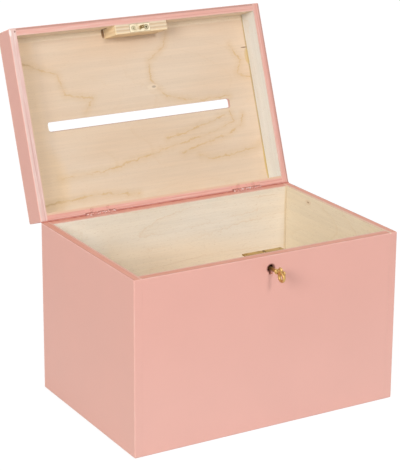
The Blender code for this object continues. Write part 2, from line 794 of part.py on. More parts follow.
def lock_bolt():
    """A bar with a sole and a talon round the key, and a thin finger that enters the tongue's eye.

    The bar stands where the bit just clears it after a quarter of a turn, when the bolt has gone a
    quarter of its throw, and the talon where it does after three quarters.
    """
    front, back = CAP_FRONT + SLIDE_GAP, CAP_INSIDE_BACK - SLIDE_GAP
    bar_right = KEYHOLE_X - BIT_SWEEP - BOLT_THROW / 4
    bar_left = bar_right - BOLT_BAR
    talon_left = KEYHOLE_X + max(BIT_SWEEP - BOLT_THROW * 3 / 4, KEY_SHANK_RADIUS + GAP)
    talon_right = talon_left + BOLT_TALON
    finger_top = EYE_Z + BOLT_FINGER_HEIGHT / 2
    sole_bottom = SOLE_TOP - BOLT_SOLE
    bolt = block(
        "lock_bolt",
        (bar_left, front, sole_bottom),
        (bar_right, back, finger_top - STEP),
        BRASS_SHEET,
    )
    join_box(bolt, (bar_left + OVERRUN, front, sole_bottom), (talon_right, back, SOLE_TOP))
    join_box(
        bolt, (talon_left, front, sole_bottom + OVERRUN), (talon_right, back, KEY_Z + KEY_BIT_RADIUS)
    )
    tip = KEYHOLE_X - TONGUE_THICKNESS / 2 - BOLT_TIP_CLEARANCE
    join_box(
        bolt,
        (bar_left + OVERRUN, TONGUE_Y - BOLT_FINGER_THICKNESS / 2, finger_top - BOLT_FINGER_HEIGHT),
        (tip, TONGUE_Y + BOLT_FINGER_THICKNESS / 2, finger_top),
    )
    return bolt


def bolt_spring():
    """A bowed strip of spring sheet between the cap's floor and the bolt's sole."""
    ends = CAP_FLOOR + GAP
    rise = SOLE_TOP - BOLT_SOLE - GAP - SPRING_SHEET - ends
    upper, lower = [], []
    for i in range(ARC_STEPS + 1):
        share = i / ARC_STEPS
        x = (share - 0.5) * SPRING_LENGTH
        bow = rise * math.sin(math.pi * share)
        lower.append((x, bow))
        upper.append((x, bow + SPRING_SHEET))
    outline = lower + upper[::-1]
    curve = bpy.data.curves.new("bolt_spring", "CURVE")
    curve.dimensions = "2D"
    curve.fill_mode = "BOTH"
    curve.extrude = SPRING_WIDTH / 2
    spline = curve.splines.new("POLY")
    spline.points.add(len(outline) - 1)
    for point, (x, height) in zip(spline.points, outline):
        point.co = (x, height, 0, 1)
    spline.use_cyclic_u = True
    middle_y = (CAP_FRONT + CAP_INSIDE_BACK) / 2
    return piece("bolt_spring", curve, (CAP_X, middle_y, ends), PLATED_STEEL, FACE_FRONT)


def bead(base, peak, start, end):
    """Profile points of a rounded bead from height start down to height end."""
    points = []
    for i in range(BEAD_STEPS + 1):
        share = i / BEAD_STEPS
        radius = base + (peak - base) * math.sin(math.pi * share)
        points.append((radius, start + (end - start) * share))
    return points


def key_mesh():
    """The key along its own +Z axis, which points out of the keyhole; z is 0 at the box's front.

    Its own Y axis points up, so the bit hangs towards -Y.
    """
    tip = -(HALF_DEPTH + KEY_TIP)
    stem_end = BOW_END_RING_OUT - BOW_RING_RADIUS + BOW_WIRE_RADIUS / 2
    collar_top = KEY_COLLAR_OUT + KEY_COLLAR_LENGTH
    collar_middle = KEY_COLLAR_OUT + KEY_COLLAR_LENGTH / 2
    profile = [(0, stem_end), (BOW_STEM_RADIUS, stem_end), (BOW_STEM_RADIUS, collar_top + GAP)]
    profile += bead(KEY_SHANK_RADIUS, KEY_COLLAR_RADIUS, collar_top, collar_middle)
    profile += bead(KEY_SHANK_RADIUS, KEY_COLLAR_RADIUS, collar_middle, KEY_COLLAR_OUT)[1:]
    profile += [(KEY_SHANK_RADIUS, tip), (0, tip)]
    key = bpy.data.objects.new("key", turned(profile))
    CUTTERS.objects.link(key)
    helpers = []
    wires = ring(BOW_RING_RADIUS, BOW_WIRE_RADIUS)
    for up, out in (
        (BOW_SIDE_RING_UP, BOW_SIDE_RING_OUT),
        (-BOW_SIDE_RING_UP, BOW_SIDE_RING_OUT),
        (0, BOW_END_RING_OUT),
    ):
        helpers.append(join(key, wires, (0, up, out)))
    bit_start = -(HALF_DEPTH + CAP_FRONT + GAP)
    half_thickness = KEY_BIT_THICKNESS / 2
    helpers.append(
        join_box(key, (-half_thickness, -KEY_BIT_RADIUS, tip + STEP), (half_thickness, 0, bit_start))
    )
    ward_middle = (tip + bit_start) / 2
    helpers.append(
        cut_box(
            key,
            (-KEY_BIT_THICKNESS, -KEY_BIT_RADIUS - OVERRUN, ward_middle - KEY_WARD_WIDTH / 2),
            (KEY_BIT_THICKNESS, -KEY_BIT_RADIUS + KEY_WARD_DEPTH, ward_middle + KEY_WARD_WIDTH / 2),
        )
    )
    bore_end = -(HALF_DEPTH + CAP_BACK - KEY_PIN_LENGTH) + GAP
    bore_length = bore_end - tip + OVERRUN
    bore = rod(KEY_PIN_RADIUS + GAP, bore_length, segments=SCREW_SEGMENTS)
    helpers.append(cut(key, bore, (0, 0, bore_end - bore_length / 2)))
    mesh = settled(key)
    for helper in helpers:
        bpy.data.objects.remove(helper, do_unlink=True)
    return mesh


def key_and_pin():
    """The key, and the pin in the lock that its hollow shank turns on, both on the key's axis."""
    axis = joint_empty("key_axis", (KEYHOLE_X, -HALF_DEPTH, KEY_Z))
    piece(
        "key_pin",
        rivet_mesh(KEY_PIN_RADIUS, KEY_PIN_LENGTH + GAP),
        (KEYHOLE_X, CAP_BACK + GAP, KEY_Z),
        PLATED_STEEL,
        FACE_BACK,
        axis,
    )
    piece("key", key_mesh(), (KEYHOLE_X, -HALF_DEPTH, KEY_Z), BRASS_SHEET, FACE_FRONT, axis)


def main():
    lid = joint_empty("lid_axis", HINGE_AXIS, (-LID_OPEN_ANGLE, 0, 0))
    panels = body_panels()
    boards = lid_boards(lid)
    hinges(panels, boards, lid)
    keeper(lid)
    keyhole(
        panels["front_panel"],
        KEYHOLE_RADIUS,
        KEYHOLE_SLOT_WIDTH,
        -HALF_DEPTH - OVERRUN,
        -INNER_Y + OVERRUN,
    )
    plate = lock_plate(panels["front_panel"])
    cap = lock_cap()
    cap_rivets(cap, plate)
    lock_bolt()
    bolt_spring()
    key_and_pin()


main()
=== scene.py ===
"""The looks of a lockable envelope box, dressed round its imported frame.

Lengths are in metres, in the frame's own axes: +X to the right, +Y to the back and +Z up. Finishes are
laid out in the places that the boards have when the box is shut, so that paint and grain keep their
places on a board however far the lid stands open. Marks, growth lines and heights of surface relief are
in millimetres, and colours are linear.
"""

import json
import logging
import math
from dataclasses import dataclass, field, replace
from enum import Enum

import bmesh
import bpy
from mathutils import Euler, Matrix, Vector


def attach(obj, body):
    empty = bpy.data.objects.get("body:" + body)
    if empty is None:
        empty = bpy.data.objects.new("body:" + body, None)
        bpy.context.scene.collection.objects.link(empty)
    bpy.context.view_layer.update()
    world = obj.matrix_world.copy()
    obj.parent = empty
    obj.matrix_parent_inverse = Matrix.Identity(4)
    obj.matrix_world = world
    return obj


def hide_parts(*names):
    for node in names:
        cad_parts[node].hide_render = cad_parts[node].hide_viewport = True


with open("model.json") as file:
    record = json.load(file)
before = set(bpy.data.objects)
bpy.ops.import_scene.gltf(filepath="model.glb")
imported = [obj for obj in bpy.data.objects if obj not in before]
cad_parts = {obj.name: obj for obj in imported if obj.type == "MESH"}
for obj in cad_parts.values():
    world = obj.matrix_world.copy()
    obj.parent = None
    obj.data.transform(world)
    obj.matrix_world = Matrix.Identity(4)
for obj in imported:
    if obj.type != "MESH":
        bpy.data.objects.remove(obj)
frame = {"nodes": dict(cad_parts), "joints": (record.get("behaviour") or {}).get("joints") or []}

log = logging.getLogger("envelope_box")

MM = 0.001
PHOTO_HEIGHT = 471
SENSOR = 36.0
HALF_WIDTH = 150 * MM
HALF_DEPTH = 100 * MM
BODY_HEIGHT = 180 * MM
LID_BOTTOM = 180.3 * MM
KEY_HEIGHT = 166.5 * MM
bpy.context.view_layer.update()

# The range in which smooth noise mostly stays
NOISE_RANGE = (0.3, 0.7)
# A surface starts to look to a side at the first cosine and does so in full from the second
FACING_RANGE = (0.80, 0.95)
# An arris counts in full up to the first cosine to its nearest side and no longer from the second
ARRIS_RANGE = (0.86, 0.96)
# How far a pattern's seed moves it along x, y and z
SEED_STEPS = (1.0, 1.7, 2.3)
# Faces that meet at less than this angle are shaded as one
SMOOTH_ANGLE = math.radians(40)

Socket = bpy.types.NodeSocket
Value = float | Socket
Colour = tuple[float, float, float]
Tint = Colour | Socket
Place = tuple[float, float, float]
Feed = Value | Place | Vector | Euler
Pair = tuple[float, float]
Path = tuple[Pair, ...]


class Side(Enum):
    """A way along one of the shut box's axes."""

    LEFT = (-1, 0, 0)
    RIGHT = (1, 0, 0)
    FRONT = (0, -1, 0)
    BACK = (0, 1, 0)
    DOWN = (0, 0, -1)
    UP = (0, 0, 1)


class Grain(Enum):
    """The axis of the shut box along which the wood's fibres run."""

    ACROSS_THE_BOX = 0
    FRONT_TO_BACK = 1

    def sizes(self, along: float, across: float) -> Place:
        """Turns sizes along and across the fibres into sizes along the box's axes.

        Args:
            along: The length along the fibres.
            across: The length across them.

        Returns:
            The lengths along x, y and z.
        """
        made = [across] * 3
        made[self.value] = along
        return tuple(made)


class Mix(Enum):
    """What a Mix node blends: its data type, and which of its sockets hold the two and their result."""

    NUMBERS = ("FLOAT", 2, 3, 0)
    COLOURS = ("RGBA", 6, 7, 2)


@dataclass(frozen=True)
class HingeLine:
    """The lid's hinge axis and the angle by which the lid stands open at rest."""

    place: Vector
    open_angle: float

    @classmethod
    def read(cls) -> "HingeLine":
        """The line that the frame's own hinge joint gives."""
        joint = next(j for j in frame["joints"] if j["name"] == "lid_hinge")
        return cls(Vector(joint["pos_m"]), math.radians(joint["range_deg"][1]))

    def to_shut(self) -> Matrix:
        """The motion that carries a place on the open lid to where it is when the box is shut."""
        turn = Matrix.Rotation(self.open_angle, 4, "X")
        return Matrix.Translation(self.place) @ turn @ Matrix.Translation(-self.place)


@dataclass(frozen=True)
class Coat:
    """What one finish gives to a surface: its colour, roughness and relief in millimetres."""

    colour: Socket
    roughness: Value
    height: Value


class Recipe:
    """One material's nodes, written as short calls that hand back sockets."""

    def __init__(self, name: str, hinge: HingeLine | None = None) -> None:
        """Starts a material.

        Args:
            name: The material's name.
            hinge: The lid's hinge line for a piece of the lid, so that its places are those of the
                shut box.
        """
        self.material = bpy.data.materials.new(name)
        self.material.use_nodes = True
        self.nodes = self.material.node_tree.nodes
        self.links = self.material.node_tree.links
        self.shader = self.nodes["Principled BSDF"]
        source = self.nodes.new("ShaderNodeTexCoord")
        self.place = source.outputs["Object"]
        self.facing = source.outputs["Normal"]
        if hinge:
            motion = hinge.to_shut()
            turn, shift = motion.to_euler(), motion.to_translation()
            values = {"Vector": self.place, "Rotation": turn, "Location": shift}
            self.place = self.node("ShaderNodeMapping", values).outputs["Vector"]
            values = {"Vector": self.facing, "Rotation": turn}
            turned = self.node("ShaderNodeMapping", values, vector_type="VECTOR")
            self.facing = turned.outputs["Vector"]

    def feed(self, target: Socket, value: Feed) -> None:
        """Links an input to a socket, or sets it to a plain value.

        Args:
            target: The input.
            value: The socket, number, vector or colour that it gets.
        """
        if isinstance(value, Socket):
            self.links.new(value, target)
        elif isinstance(value, tuple) and target.type == "RGBA":
            target.default_value = (*value, 1.0)
        else:
            target.default_value = value

    def node(self, kind: str, values: dict[int | str, Feed], **settings: int | str) -> bpy.types.Node:
        """Adds a node.

        Args:
            kind: The node's type.
            values: What its inputs get, by their number or name.
            settings: The node's own options.

        Returns:
            The node.
        """
        made = self.nodes.new(kind)
        for name, setting in settings.items():
            setattr(made, name, setting)
        for name, value in values.items():
            self.feed(made.inputs[name], value)
        return made

    def math(self, kind: str, *values: Value) -> Socket:
        """The result of one Math node of the given kind."""
        return self.node("ShaderNodeMath", dict(enumerate(values)), operation=kind).outputs[0]

    def vector_math(self, kind: str, *values: Place | Socket) -> Socket:
        """The result of one Vector Math node of the given kind."""
        made = self.node("ShaderNodeVectorMath", dict(enumerate(values)), operation=kind)
        return made.outputs["Value" if kind in ("DOT_PRODUCT", "LENGTH") else "Vector"]

    def parts(self, vector: Socket) -> tuple[Socket, Socket, Socket]:
        """A vector's x, y and z."""
        return tuple(self.node("ShaderNodeSeparateXYZ", {0: vector}).outputs)

    def vector(self, x: Value, y: Value, z: Value) -> Socket:
        """A vector of three values."""
        return self.node("ShaderNodeCombineXYZ", {0: x, 1: y, 2: z}).outputs[0]

    def distance(self, place: Socket, path: Path) -> Socket:
        """How far a place is from a line drawn through points at height 0.

        Args:
            place: The place.
            path: The points' x and y in millimetres.

        Returns:
            The distance in metres.
        """
        nearest = None
        for start, end in zip(path, path[1:]):
            first = Vector((*start, 0)) * MM
            step = Vector((*end, 0)) * MM - first
            offset = self.vector_math("SUBTRACT", place, tuple(first))
            share = self.vector_math("DOT_PRODUCT", offset, tuple(step / step.length_squared))
            share = self.math("MINIMUM", self.math("MAXIMUM", share, 0.0), 1.0)
            foot = self.vector_math("MULTIPLY", self.vector(share, share, share), tuple(step))
            reach = self.vector_math("LENGTH", self.vector_math("SUBTRACT", offset, foot))
            nearest = self.math("MINIMUM", nearest, reach) if nearest else reach
        return nearest

    def noise(self, vector: Socket, detail: float, rough: float) -> Socket:
        """Smooth noise about 0.5, with features one unit of the vector across."""
        values = {"Vector": vector, "Scale": 1.0, "Detail": detail, "Roughness": rough}
        return self.node("ShaderNodeTexNoise", values).outputs["Fac"]

    def pattern(
        self,
        sizes: float | Place,
        seed: float,
        detail: float = 2.0,
        rough: float = 0.5,
    ) -> Socket:
        """Smooth noise laid out over the piece.

        Args:
            sizes: The size of its features, one for all ways alike or three along x, y and z.
            seed: Picks one pattern out of many.
            detail: How many finer layers are added.
            rough: How strong each finer layer is.

        Returns:
            The noise, from 0 to 1 about 0.5.
        """
        lengths = (sizes,) * 3 if isinstance(sizes, float) else sizes
        values = {
            "Vector": self.place,
            "Scale": tuple(1 / length for length in lengths),
            "Location": tuple(seed * step for step in SEED_STEPS),
        }
        return self.noise(self.node("ShaderNodeMapping", values).outputs["Vector"], detail, rough)

    def span(
        self,
        value: Value,
        start: Value,
        end: Value,
        low: Value = 0.0,
        high: Value = 1.0,
    ) -> Socket:
        """A smooth step from low to high as the value goes from start to end."""
        values = dict(enumerate((value, start, end, low, high)))
        return self.node("ShaderNodeMapRange", values, interpolation_type="SMOOTHSTEP").outputs[0]

    def swing(self, noise: Socket, low: float = 0.0, high: float = 1.0) -> Socket:
        """A smooth step from low to high over the range in which noise mostly stays."""
        return self.span(noise, *NOISE_RANGE, low, high)

    def mixed(self, what: Mix, share: Value, first: Feed, second: Feed, **settings: str) -> Socket:
        """Adds a Mix node.

        Args:
            what: Whether it blends numbers or colours.
            share: How far the result is from the first to the second.
            first: The first number or colour.
            second: The second one.
            settings: The node's other options.

        Returns:
            The blend.
        """
        kind, before, after, result = what.value
        values = {"Factor": share, before: first, after: second}
        return self.node("ShaderNodeMix", values, data_type=kind, **settings).outputs[result]

    def between(self, share: Value, first: Value, second: Value) -> Socket:
        """A number that goes from first to second as share goes from 0 to 1."""
        return self.mixed(Mix.NUMBERS, share, first, second)

    def blend(self, share: Value, first: Tint, second: Tint) -> Socket:
        """A colour that goes from first to second as share goes from 0 to 1."""
        return self.mixed(Mix.COLOURS, share, first, second)

    def toned(self, colour: Tint, tone: Value) -> Socket:
        """A colour made lighter or darker by a factor."""
        factor = self.vector(tone, tone, tone)
        return self.mixed(Mix.COLOURS, 1.0, colour, factor, blend_type="MULTIPLY")

    def looks_to(self, side: Side) -> Socket:
        """1 where the surface faces the given side of the shut box, otherwise 0."""
        return self.span(self.vector_math("DOT_PRODUCT", self.facing, side.value), *FACING_RANGE)

    def on_arris(self) -> Socket:
        """Finds the rounded edges between a board's faces.

        Returns:
            1 on them, otherwise 0.
        """
        sides = [self.math("ABSOLUTE", part) for part in self.parts(self.facing)]
        largest = self.math("MAXIMUM", self.math("MAXIMUM", sides[0], sides[1]), sides[2])
        return self.span(largest, *ARRIS_RANGE, 1.0, 0.0)

    def open_to_light(self, reach: float) -> Socket:
        """1 on open surfaces, falling to 0 in creases and recesses narrower than reach."""
        return self.node("ShaderNodeAmbientOcclusion", {"Distance": reach}, samples=8).outputs["AO"]

    def laid_over(self, under: Coat, over: Coat, share: Value) -> Coat:
        """Lays one coat over another.

        Args:
            under: The coat that shows where share is 0.
            over: The coat that shows where share is 1.
            share: How far the upper one shows.

        Returns:
            The two together.
        """
        return Coat(
            self.blend(share, under.colour, over.colour),
            self.between(share, under.roughness, over.roughness),
            self.between(share, under.height, over.height),
        )

    def finish(self, coat: Coat, metallic: Value = 0.0, specular: float = 0.5) -> bpy.types.Material:
        """Puts a coat on the shader.

        Args:
            coat: The surface's colour, roughness and relief.
            metallic: 1 for bare metal.
            specular: How much light a surface that isn't metal reflects off its top.

        Returns:
            The finished material.
        """
        self.feed(self.shader.inputs["Base Color"], coat.colour)
        self.feed(self.shader.inputs["Roughness"], coat.roughness)
        self.feed(self.shader.inputs["Metallic"], metallic)
        self.shader.inputs["Specular IOR Level"].default_value = specular
        relief = {"Strength": 1.0, "Distance": MM, "Height": coat.height}
        bump = self.node("ShaderNodeBump", relief)
        self.links.new(bump.outputs["Normal"], self.shader.inputs["Normal"])
        return self.material


@dataclass(frozen=True)
class Spot:
    """A soft-edged mark, small as a knot, a smear of glue or the dirt in a hole, or broad as a tint.

    Its middle and its reach along x, y and z are in millimetres, in the shut box's place.
    """

    place: Place
    reach: Place
    colour: Colour
    strength: float = 1.0
    roughness: float = 0.8
    edge: Pair = (0.70, 1.15)

    def share(self, recipe: Recipe) -> Socket:
        """How strongly the spot shows.

        Args:
            recipe: The material that is being made.

        Returns:
            The spot's strength, fading to 0 about its reach.
        """
        middle = tuple(value * MM for value in self.place)
        reach = tuple(value * MM for value in self.reach)
        offset = recipe.vector_math("SUBTRACT", recipe.place, middle)
        offset = recipe.vector_math("DIVIDE", offset, reach)
        return recipe.span(recipe.vector_math("LENGTH", offset), *self.edge, self.strength, 0.0)

    def over(self, recipe: Recipe, coat: Coat) -> Coat:
        """Lays the spot over a coat.

        Args:
            recipe: The material that is being made.
            coat: The coat under it.

        Returns:
            The coat with the spot on it.
        """
        share = self.share(recipe)
        colour = recipe.blend(share, coat.colour, self.colour)
        roughness = recipe.between(share, coat.roughness, self.roughness)
        return replace(coat, colour=colour, roughness=roughness)


def marked(recipe: Recipe, coat: Coat, spots: tuple[Spot, ...]) -> Coat:
    """Lays spots over a coat, one after another.

    Args:
        recipe: The material that is being made.
        coat: The coat under them.
        spots: The spots.

    Returns:
        The coat with the spots on it.
    """
    for spot in spots:
        coat = spot.over(recipe, coat)
    return coat


@dataclass(frozen=True)
class PinkPaint:
    """Satin paint, rolled over plywood: faintly stippled faces, and sawn edges that show their plies.

    Fibres, streaks and plies are sizes along and across the board's grain. A range tells where in its
    noise a thing starts to show and where it shows in full.
    """

    colour: Colour = (0.805, 0.425, 0.357)
    # foot is painted light: the face grows paler towards the bottom, standing in for light thrown up
    # from the floor.
    foot: Colour = (0.833, 0.469, 0.400)
    # left and the foot colour after it are painted shade: faces that look left are a shade darker.
    left: Colour = (0.792, 0.415, 0.336)
    shaded_left_foot: Colour = (0.815, 0.448, 0.366)
    rim: Colour = (0.800, 0.362, 0.262)
    thin: Colour = (0.830, 0.430, 0.330)
    deep: Colour = (0.700, 0.290, 0.205)
    # arris is a darker band of painted shade along the rim's outer arris; the highlit rim paint makes
    # it a paler painted highlight instead.
    arris: Colour = (0.500, 0.235, 0.185)
    inner: Colour = (0.820, 0.540, 0.450)
    # worn is paler paint on the rounded edges: partly worn paint and partly a painted highlight.
    worn: Colour = (0.860, 0.580, 0.490)
    arris_full: float = 0.4 * MM
    arris_width: float = 2.0 * MM
    arris_share: float = 0.85
    inner_from: float = 6.4 * MM
    inner_full: float = 7.8 * MM
    inner_share: float = 0.6
    foot_from: float = 0.95 * BODY_HEIGHT
    roughness: Pair = (0.45, 0.51)
    edge_roughness: float = 0.62
    cloud: float = 70 * MM
    cloud_range: Pair = (0.25, 0.75)
    cloud_tones: Pair = (0.985, 1.012)
    sheen_range: Pair = (0.20, 0.80)
    stipple: float = 1.1 * MM
    stipple_height: float = 0.009
    fibres: Pair = (28 * MM, 0.8 * MM)
    fibre_height: float = 0.010
    streaks: Pair = (26 * MM, 0.54 * MM)
    streak_range: Pair = (0.42, 0.70)
    plies: Pair = (150 * MM, 1.35 * MM)
    ply_range: Pair = (0.50, 0.72)
    ply_share: float = 0.7
    ply_height: float = 0.04
    rubbed_and_highlit: float = 11 * MM
    rubbed_and_highlit_range: Pair = (0.42, 0.66)
    wear_and_highlight: Pair = (0.1, 0.7)

    def coat(self, recipe: Recipe, board: "Board") -> Coat:
        """The paint's coat on a board.

        Args:
            recipe: The material that is being made.
            board: The board.

        Returns:
            The coat.
        """
        cloud = recipe.pattern(self.cloud, board.seed, detail=3.0, rough=0.55)
        # Painted light: the paint grows paler towards the bottom.
        low = recipe.span(recipe.parts(recipe.place)[2], self.foot_from, 0.0)
        colour = recipe.blend(low, self.colour, self.foot)
        # Painted shade: faces that look left get the deeper colours.
        left = recipe.blend(low, self.left, self.shaded_left_foot)
        colour = recipe.blend(recipe.looks_to(Side.LEFT), colour, left)
        stipple = recipe.pattern(self.stipple, board.seed, detail=1.0)
        fibres = recipe.pattern(board.grain.sizes(*self.fibres), board.seed + 6.0)
        height = recipe.math("MULTIPLY", stipple, self.stipple_height)
        made = Coat(
            recipe.toned(colour, recipe.span(cloud, *self.cloud_range, *self.cloud_tones)),
            recipe.span(cloud, *self.sheen_range, *self.roughness),
            recipe.math("MULTIPLY_ADD", fibres, self.fibre_height, height),
        )
        if board.rim:
            made = recipe.laid_over(made, self.sawn_edge(recipe, board), recipe.looks_to(board.rim))
        # The rounded edges turn paler in patches: partly worn paint and partly a painted highlight.
        rubbed_and_highlit = recipe.pattern(self.rubbed_and_highlit, board.seed + 8.0, detail=3.0, rough=0.6)
        wear_and_highlight = recipe.span(rubbed_and_highlit, *self.rubbed_and_highlit_range, *self.wear_and_highlight)
        wear_and_highlight = recipe.math("MULTIPLY", recipe.on_arris(), wear_and_highlight)
        return replace(made, colour=recipe.blend(wear_and_highlight, made.colour, self.worn))

    def sawn_edge(self, recipe: Recipe, board: "Board") -> Coat:
        """The coat on a board's rim, streaked by the plies under it, with a painted band of shade along
        the outer arris.

        Args:
            recipe: The material that is being made.
            board: The board.

        Returns:
            The coat.
        """
        sizes = board.grain.sizes
        streak = recipe.pattern(sizes(*self.streaks), board.seed + 5.0, detail=3.0, rough=0.6)
        plies = recipe.pattern(sizes(*self.plies), board.seed + 9.0, detail=1.0)
        colour = recipe.blend(recipe.span(streak, *self.streak_range), self.rim, self.thin)
        deep = recipe.span(plies, *self.ply_range, 0.0, self.ply_share)
        colour = recipe.blend(deep, colour, self.deep)
        axis, outside = board.thickness()
        depth = recipe.math("ABSOLUTE", recipe.parts(recipe.place)[axis])
        depth = recipe.math("SUBTRACT", outside, depth)
        inner = recipe.span(depth, self.inner_from, self.inner_full, 0.0, self.inner_share)
        colour = recipe.blend(inner, colour, self.inner)
        # A band along the outer arris: painted shade, and a painted highlight in the highlit rim paint.
        outer = recipe.span(depth, self.arris_full, self.arris_width, self.arris_share, 0.0)
        colour = recipe.blend(outer, colour, self.arris)
        height = recipe.math("MULTIPLY", recipe.math("ADD", streak, plies), self.ply_height)
        return Coat(colour, self.edge_roughness, height)


@dataclass(frozen=True)
class BirchVeneer:
    """Bare rotary cut birch: pale, with a few wandering growth lines, fine fibres and short flecks.

    The pairs for blotches, fibres, streaks, pores, teeth and rings are sizes along and across the
    board's grain. The lines' strengths are shares of the line's colour.
    """

    pale: Colour = (0.750, 0.595, 0.450)
    warm: Colour = (0.730, 0.550, 0.392)
    line: Colour = (0.640, 0.420, 0.200)
    fleck: Colour = (0.560, 0.370, 0.210)
    roughness: Pair = (0.58, 0.66)
    rings: float = 5.0
    ring_strength: float = 0.8
    ring: Pair = (260 * MM, 85 * MM)
    ring_power: float = 22.0
    ring_end: float = 0.975
    ring_halo_power: float = 4.0
    ring_halo: float = 0.16
    ring_fade: Pair = (60 * MM, 30 * MM)
    ring_fade_range: Pair = (0.35, 0.65)
    ring_faded: float = 0.1
    drawn_fade: float = 12 * MM
    drawn_fade_range: Pair = (0.30, 0.65)
    drawn_shares: Pair = (0.25, 0.80)
    drawn_core: Pair = (0.1 * MM, 1.9 * MM)
    drawn_halo_reach: float = 8 * MM
    drawn_halo: float = 0.26
    blotches: Pair = (150 * MM, 60 * MM)
    fibres: Pair = (30 * MM, 0.5 * MM)
    fibre_tones: Pair = (0.975, 1.015)
    fibre_height: float = 0.012
    streaks: Pair = (130 * MM, 5 * MM)
    streak_tones: Pair = (0.965, 1.020)
    pores: Pair = (3.2 * MM, 0.32 * MM)
    pore_range: Pair = (0.70, 0.80)
    pore_share: float = 0.35
    tooth: Pair = (18 * MM, 1.1 * MM)
    teeth: float = 6.5 * MM
    drift: float = 7 * MM
    drift_share: float = 1.3

    def coat(self, recipe: Recipe, board: "Board") -> Coat:
        """The veneer's coat on a board.

        Args:
            recipe: The material that is being made.
            board: The board.

        Returns:
            The coat.
        """
        sizes, seed = board.grain.sizes, board.seed
        blotch = recipe.pattern(sizes(*self.blotches), seed + 3.0, detail=3.0)
        colour = recipe.blend(recipe.swing(blotch), self.pale, self.warm)
        # Broad colour patches of the wood, and patches of painted light where a board lies in shade.
        for tint in board.tints_and_painted_light:
            colour = recipe.blend(tint.share(recipe), colour, tint.colour)
        ragged = self.ragged(recipe, board)
        colour = recipe.blend(self.growth_lines(recipe, board, ragged), colour, self.line)
        if board.lines:
            colour = recipe.blend(self.drawn_lines(recipe, board, ragged), colour, self.line)
        fibres = recipe.pattern(sizes(*self.fibres), seed, rough=0.6)
        streaks = recipe.pattern(sizes(*self.streaks), seed + 1.0, detail=3.0, rough=0.6)
        fine = recipe.swing(fibres, *self.fibre_tones)
        broad = recipe.swing(streaks, *self.streak_tones)
        colour = recipe.toned(colour, recipe.math("MULTIPLY", fine, broad))
        pores = recipe.pattern(sizes(*self.pores), seed + 2.0, detail=0.0)
        flecks = recipe.span(pores, *self.pore_range, 0.0, self.pore_share)
        colour = recipe.blend(flecks, colour, self.fleck)
        height = recipe.math("MULTIPLY", fibres, self.fibre_height)
        coat = Coat(colour, recipe.swing(fibres, *self.roughness), height)
        return marked(recipe, coat, board.bare_spots)

    def ragged(self, recipe: Recipe, board: "Board") -> Socket:
        """The place, pushed to and fro along the fibres so that lines across them get teeth.

        Args:
            recipe: The material that is being made.
            board: The board.

        Returns:
            The pushed place.
        """
        tooth = board.grain.sizes(*self.tooth)
        teeth = recipe.pattern(tooth, board.seed + 4.0, detail=3.0, rough=0.65)
        drift = recipe.pattern(self.drift, board.seed + 7.0, detail=3.0, rough=0.65)
        push = recipe.math("MULTIPLY_ADD", teeth, self.teeth, -0.5 * self.teeth)
        reach = self.drift_share * self.teeth
        pushes = [recipe.math("MULTIPLY_ADD", drift, reach, -0.5 * reach)] * 3
        pushes[board.grain.value] = push
        return recipe.vector_math("ADD", recipe.place, recipe.vector(*pushes))

    def growth_lines(self, recipe: Recipe, board: "Board", ragged: Socket) -> Socket:
        """How strongly a growth line shows: contour lines of a slow swell that runs along the fibres.

        Args:
            recipe: The material that is being made.
            board: The board.
            ragged: The place, with teeth.

        Returns:
            The lines' share, from 0 to 1.
        """
        place = recipe.vector_math("DIVIDE", ragged, board.grain.sizes(*self.ring))
        place = recipe.vector_math("ADD", place, (board.seed,) * 3)
        swell = recipe.noise(place, detail=1.0, rough=0.4)
        phase = recipe.math("FRACT", recipe.math("MULTIPLY", swell, self.rings * 2))
        late = recipe.math("POWER", phase, self.ring_power)
        crisp = recipe.span(phase, self.ring_end, 1.0, 1.0, 0.0)
        halo = recipe.math("POWER", phase, self.ring_halo_power)
        halo = recipe.math("MULTIPLY", halo, self.ring_halo)
        fade = recipe.pattern(board.grain.sizes(*self.ring_fade), board.seed + 6.0, detail=1.0)
        faintest, strongest = self.ring_faded * self.ring_strength, self.ring_strength
        strength = recipe.span(fade, *self.ring_fade_range, faintest, strongest)
        line = recipe.math("MAXIMUM", recipe.math("MULTIPLY", late, crisp), halo)
        return recipe.math("MULTIPLY", line, strength)

    def drawn_lines(self, recipe: Recipe, board: "Board", ragged: Socket) -> Socket:
        """How strongly the board's own growth lines show, each drawn through its named places.

        Args:
            recipe: The material that is being made.
            board: The board.
            ragged: The place, with teeth.

        Returns:
            The lines' share, from 0 to 1.
        """
        x, y, _ = recipe.parts(ragged)
        place = recipe.vector(x, y, 0.0)
        near = recipe.distance(place, board.lines[0])
        for path in board.lines[1:]:
            near = recipe.math("MINIMUM", near, recipe.distance(place, path))
        fade = recipe.pattern(self.drawn_fade, board.seed + 8.0)
        strength = recipe.span(fade, *self.drawn_fade_range, *self.drawn_shares)
        core = recipe.span(near, *self.drawn_core, strength, 0.0)
        halo = recipe.span(near, 0.0, self.drawn_halo_reach, self.drawn_halo, 0.0)
        return recipe.math("MAXIMUM", core, halo)


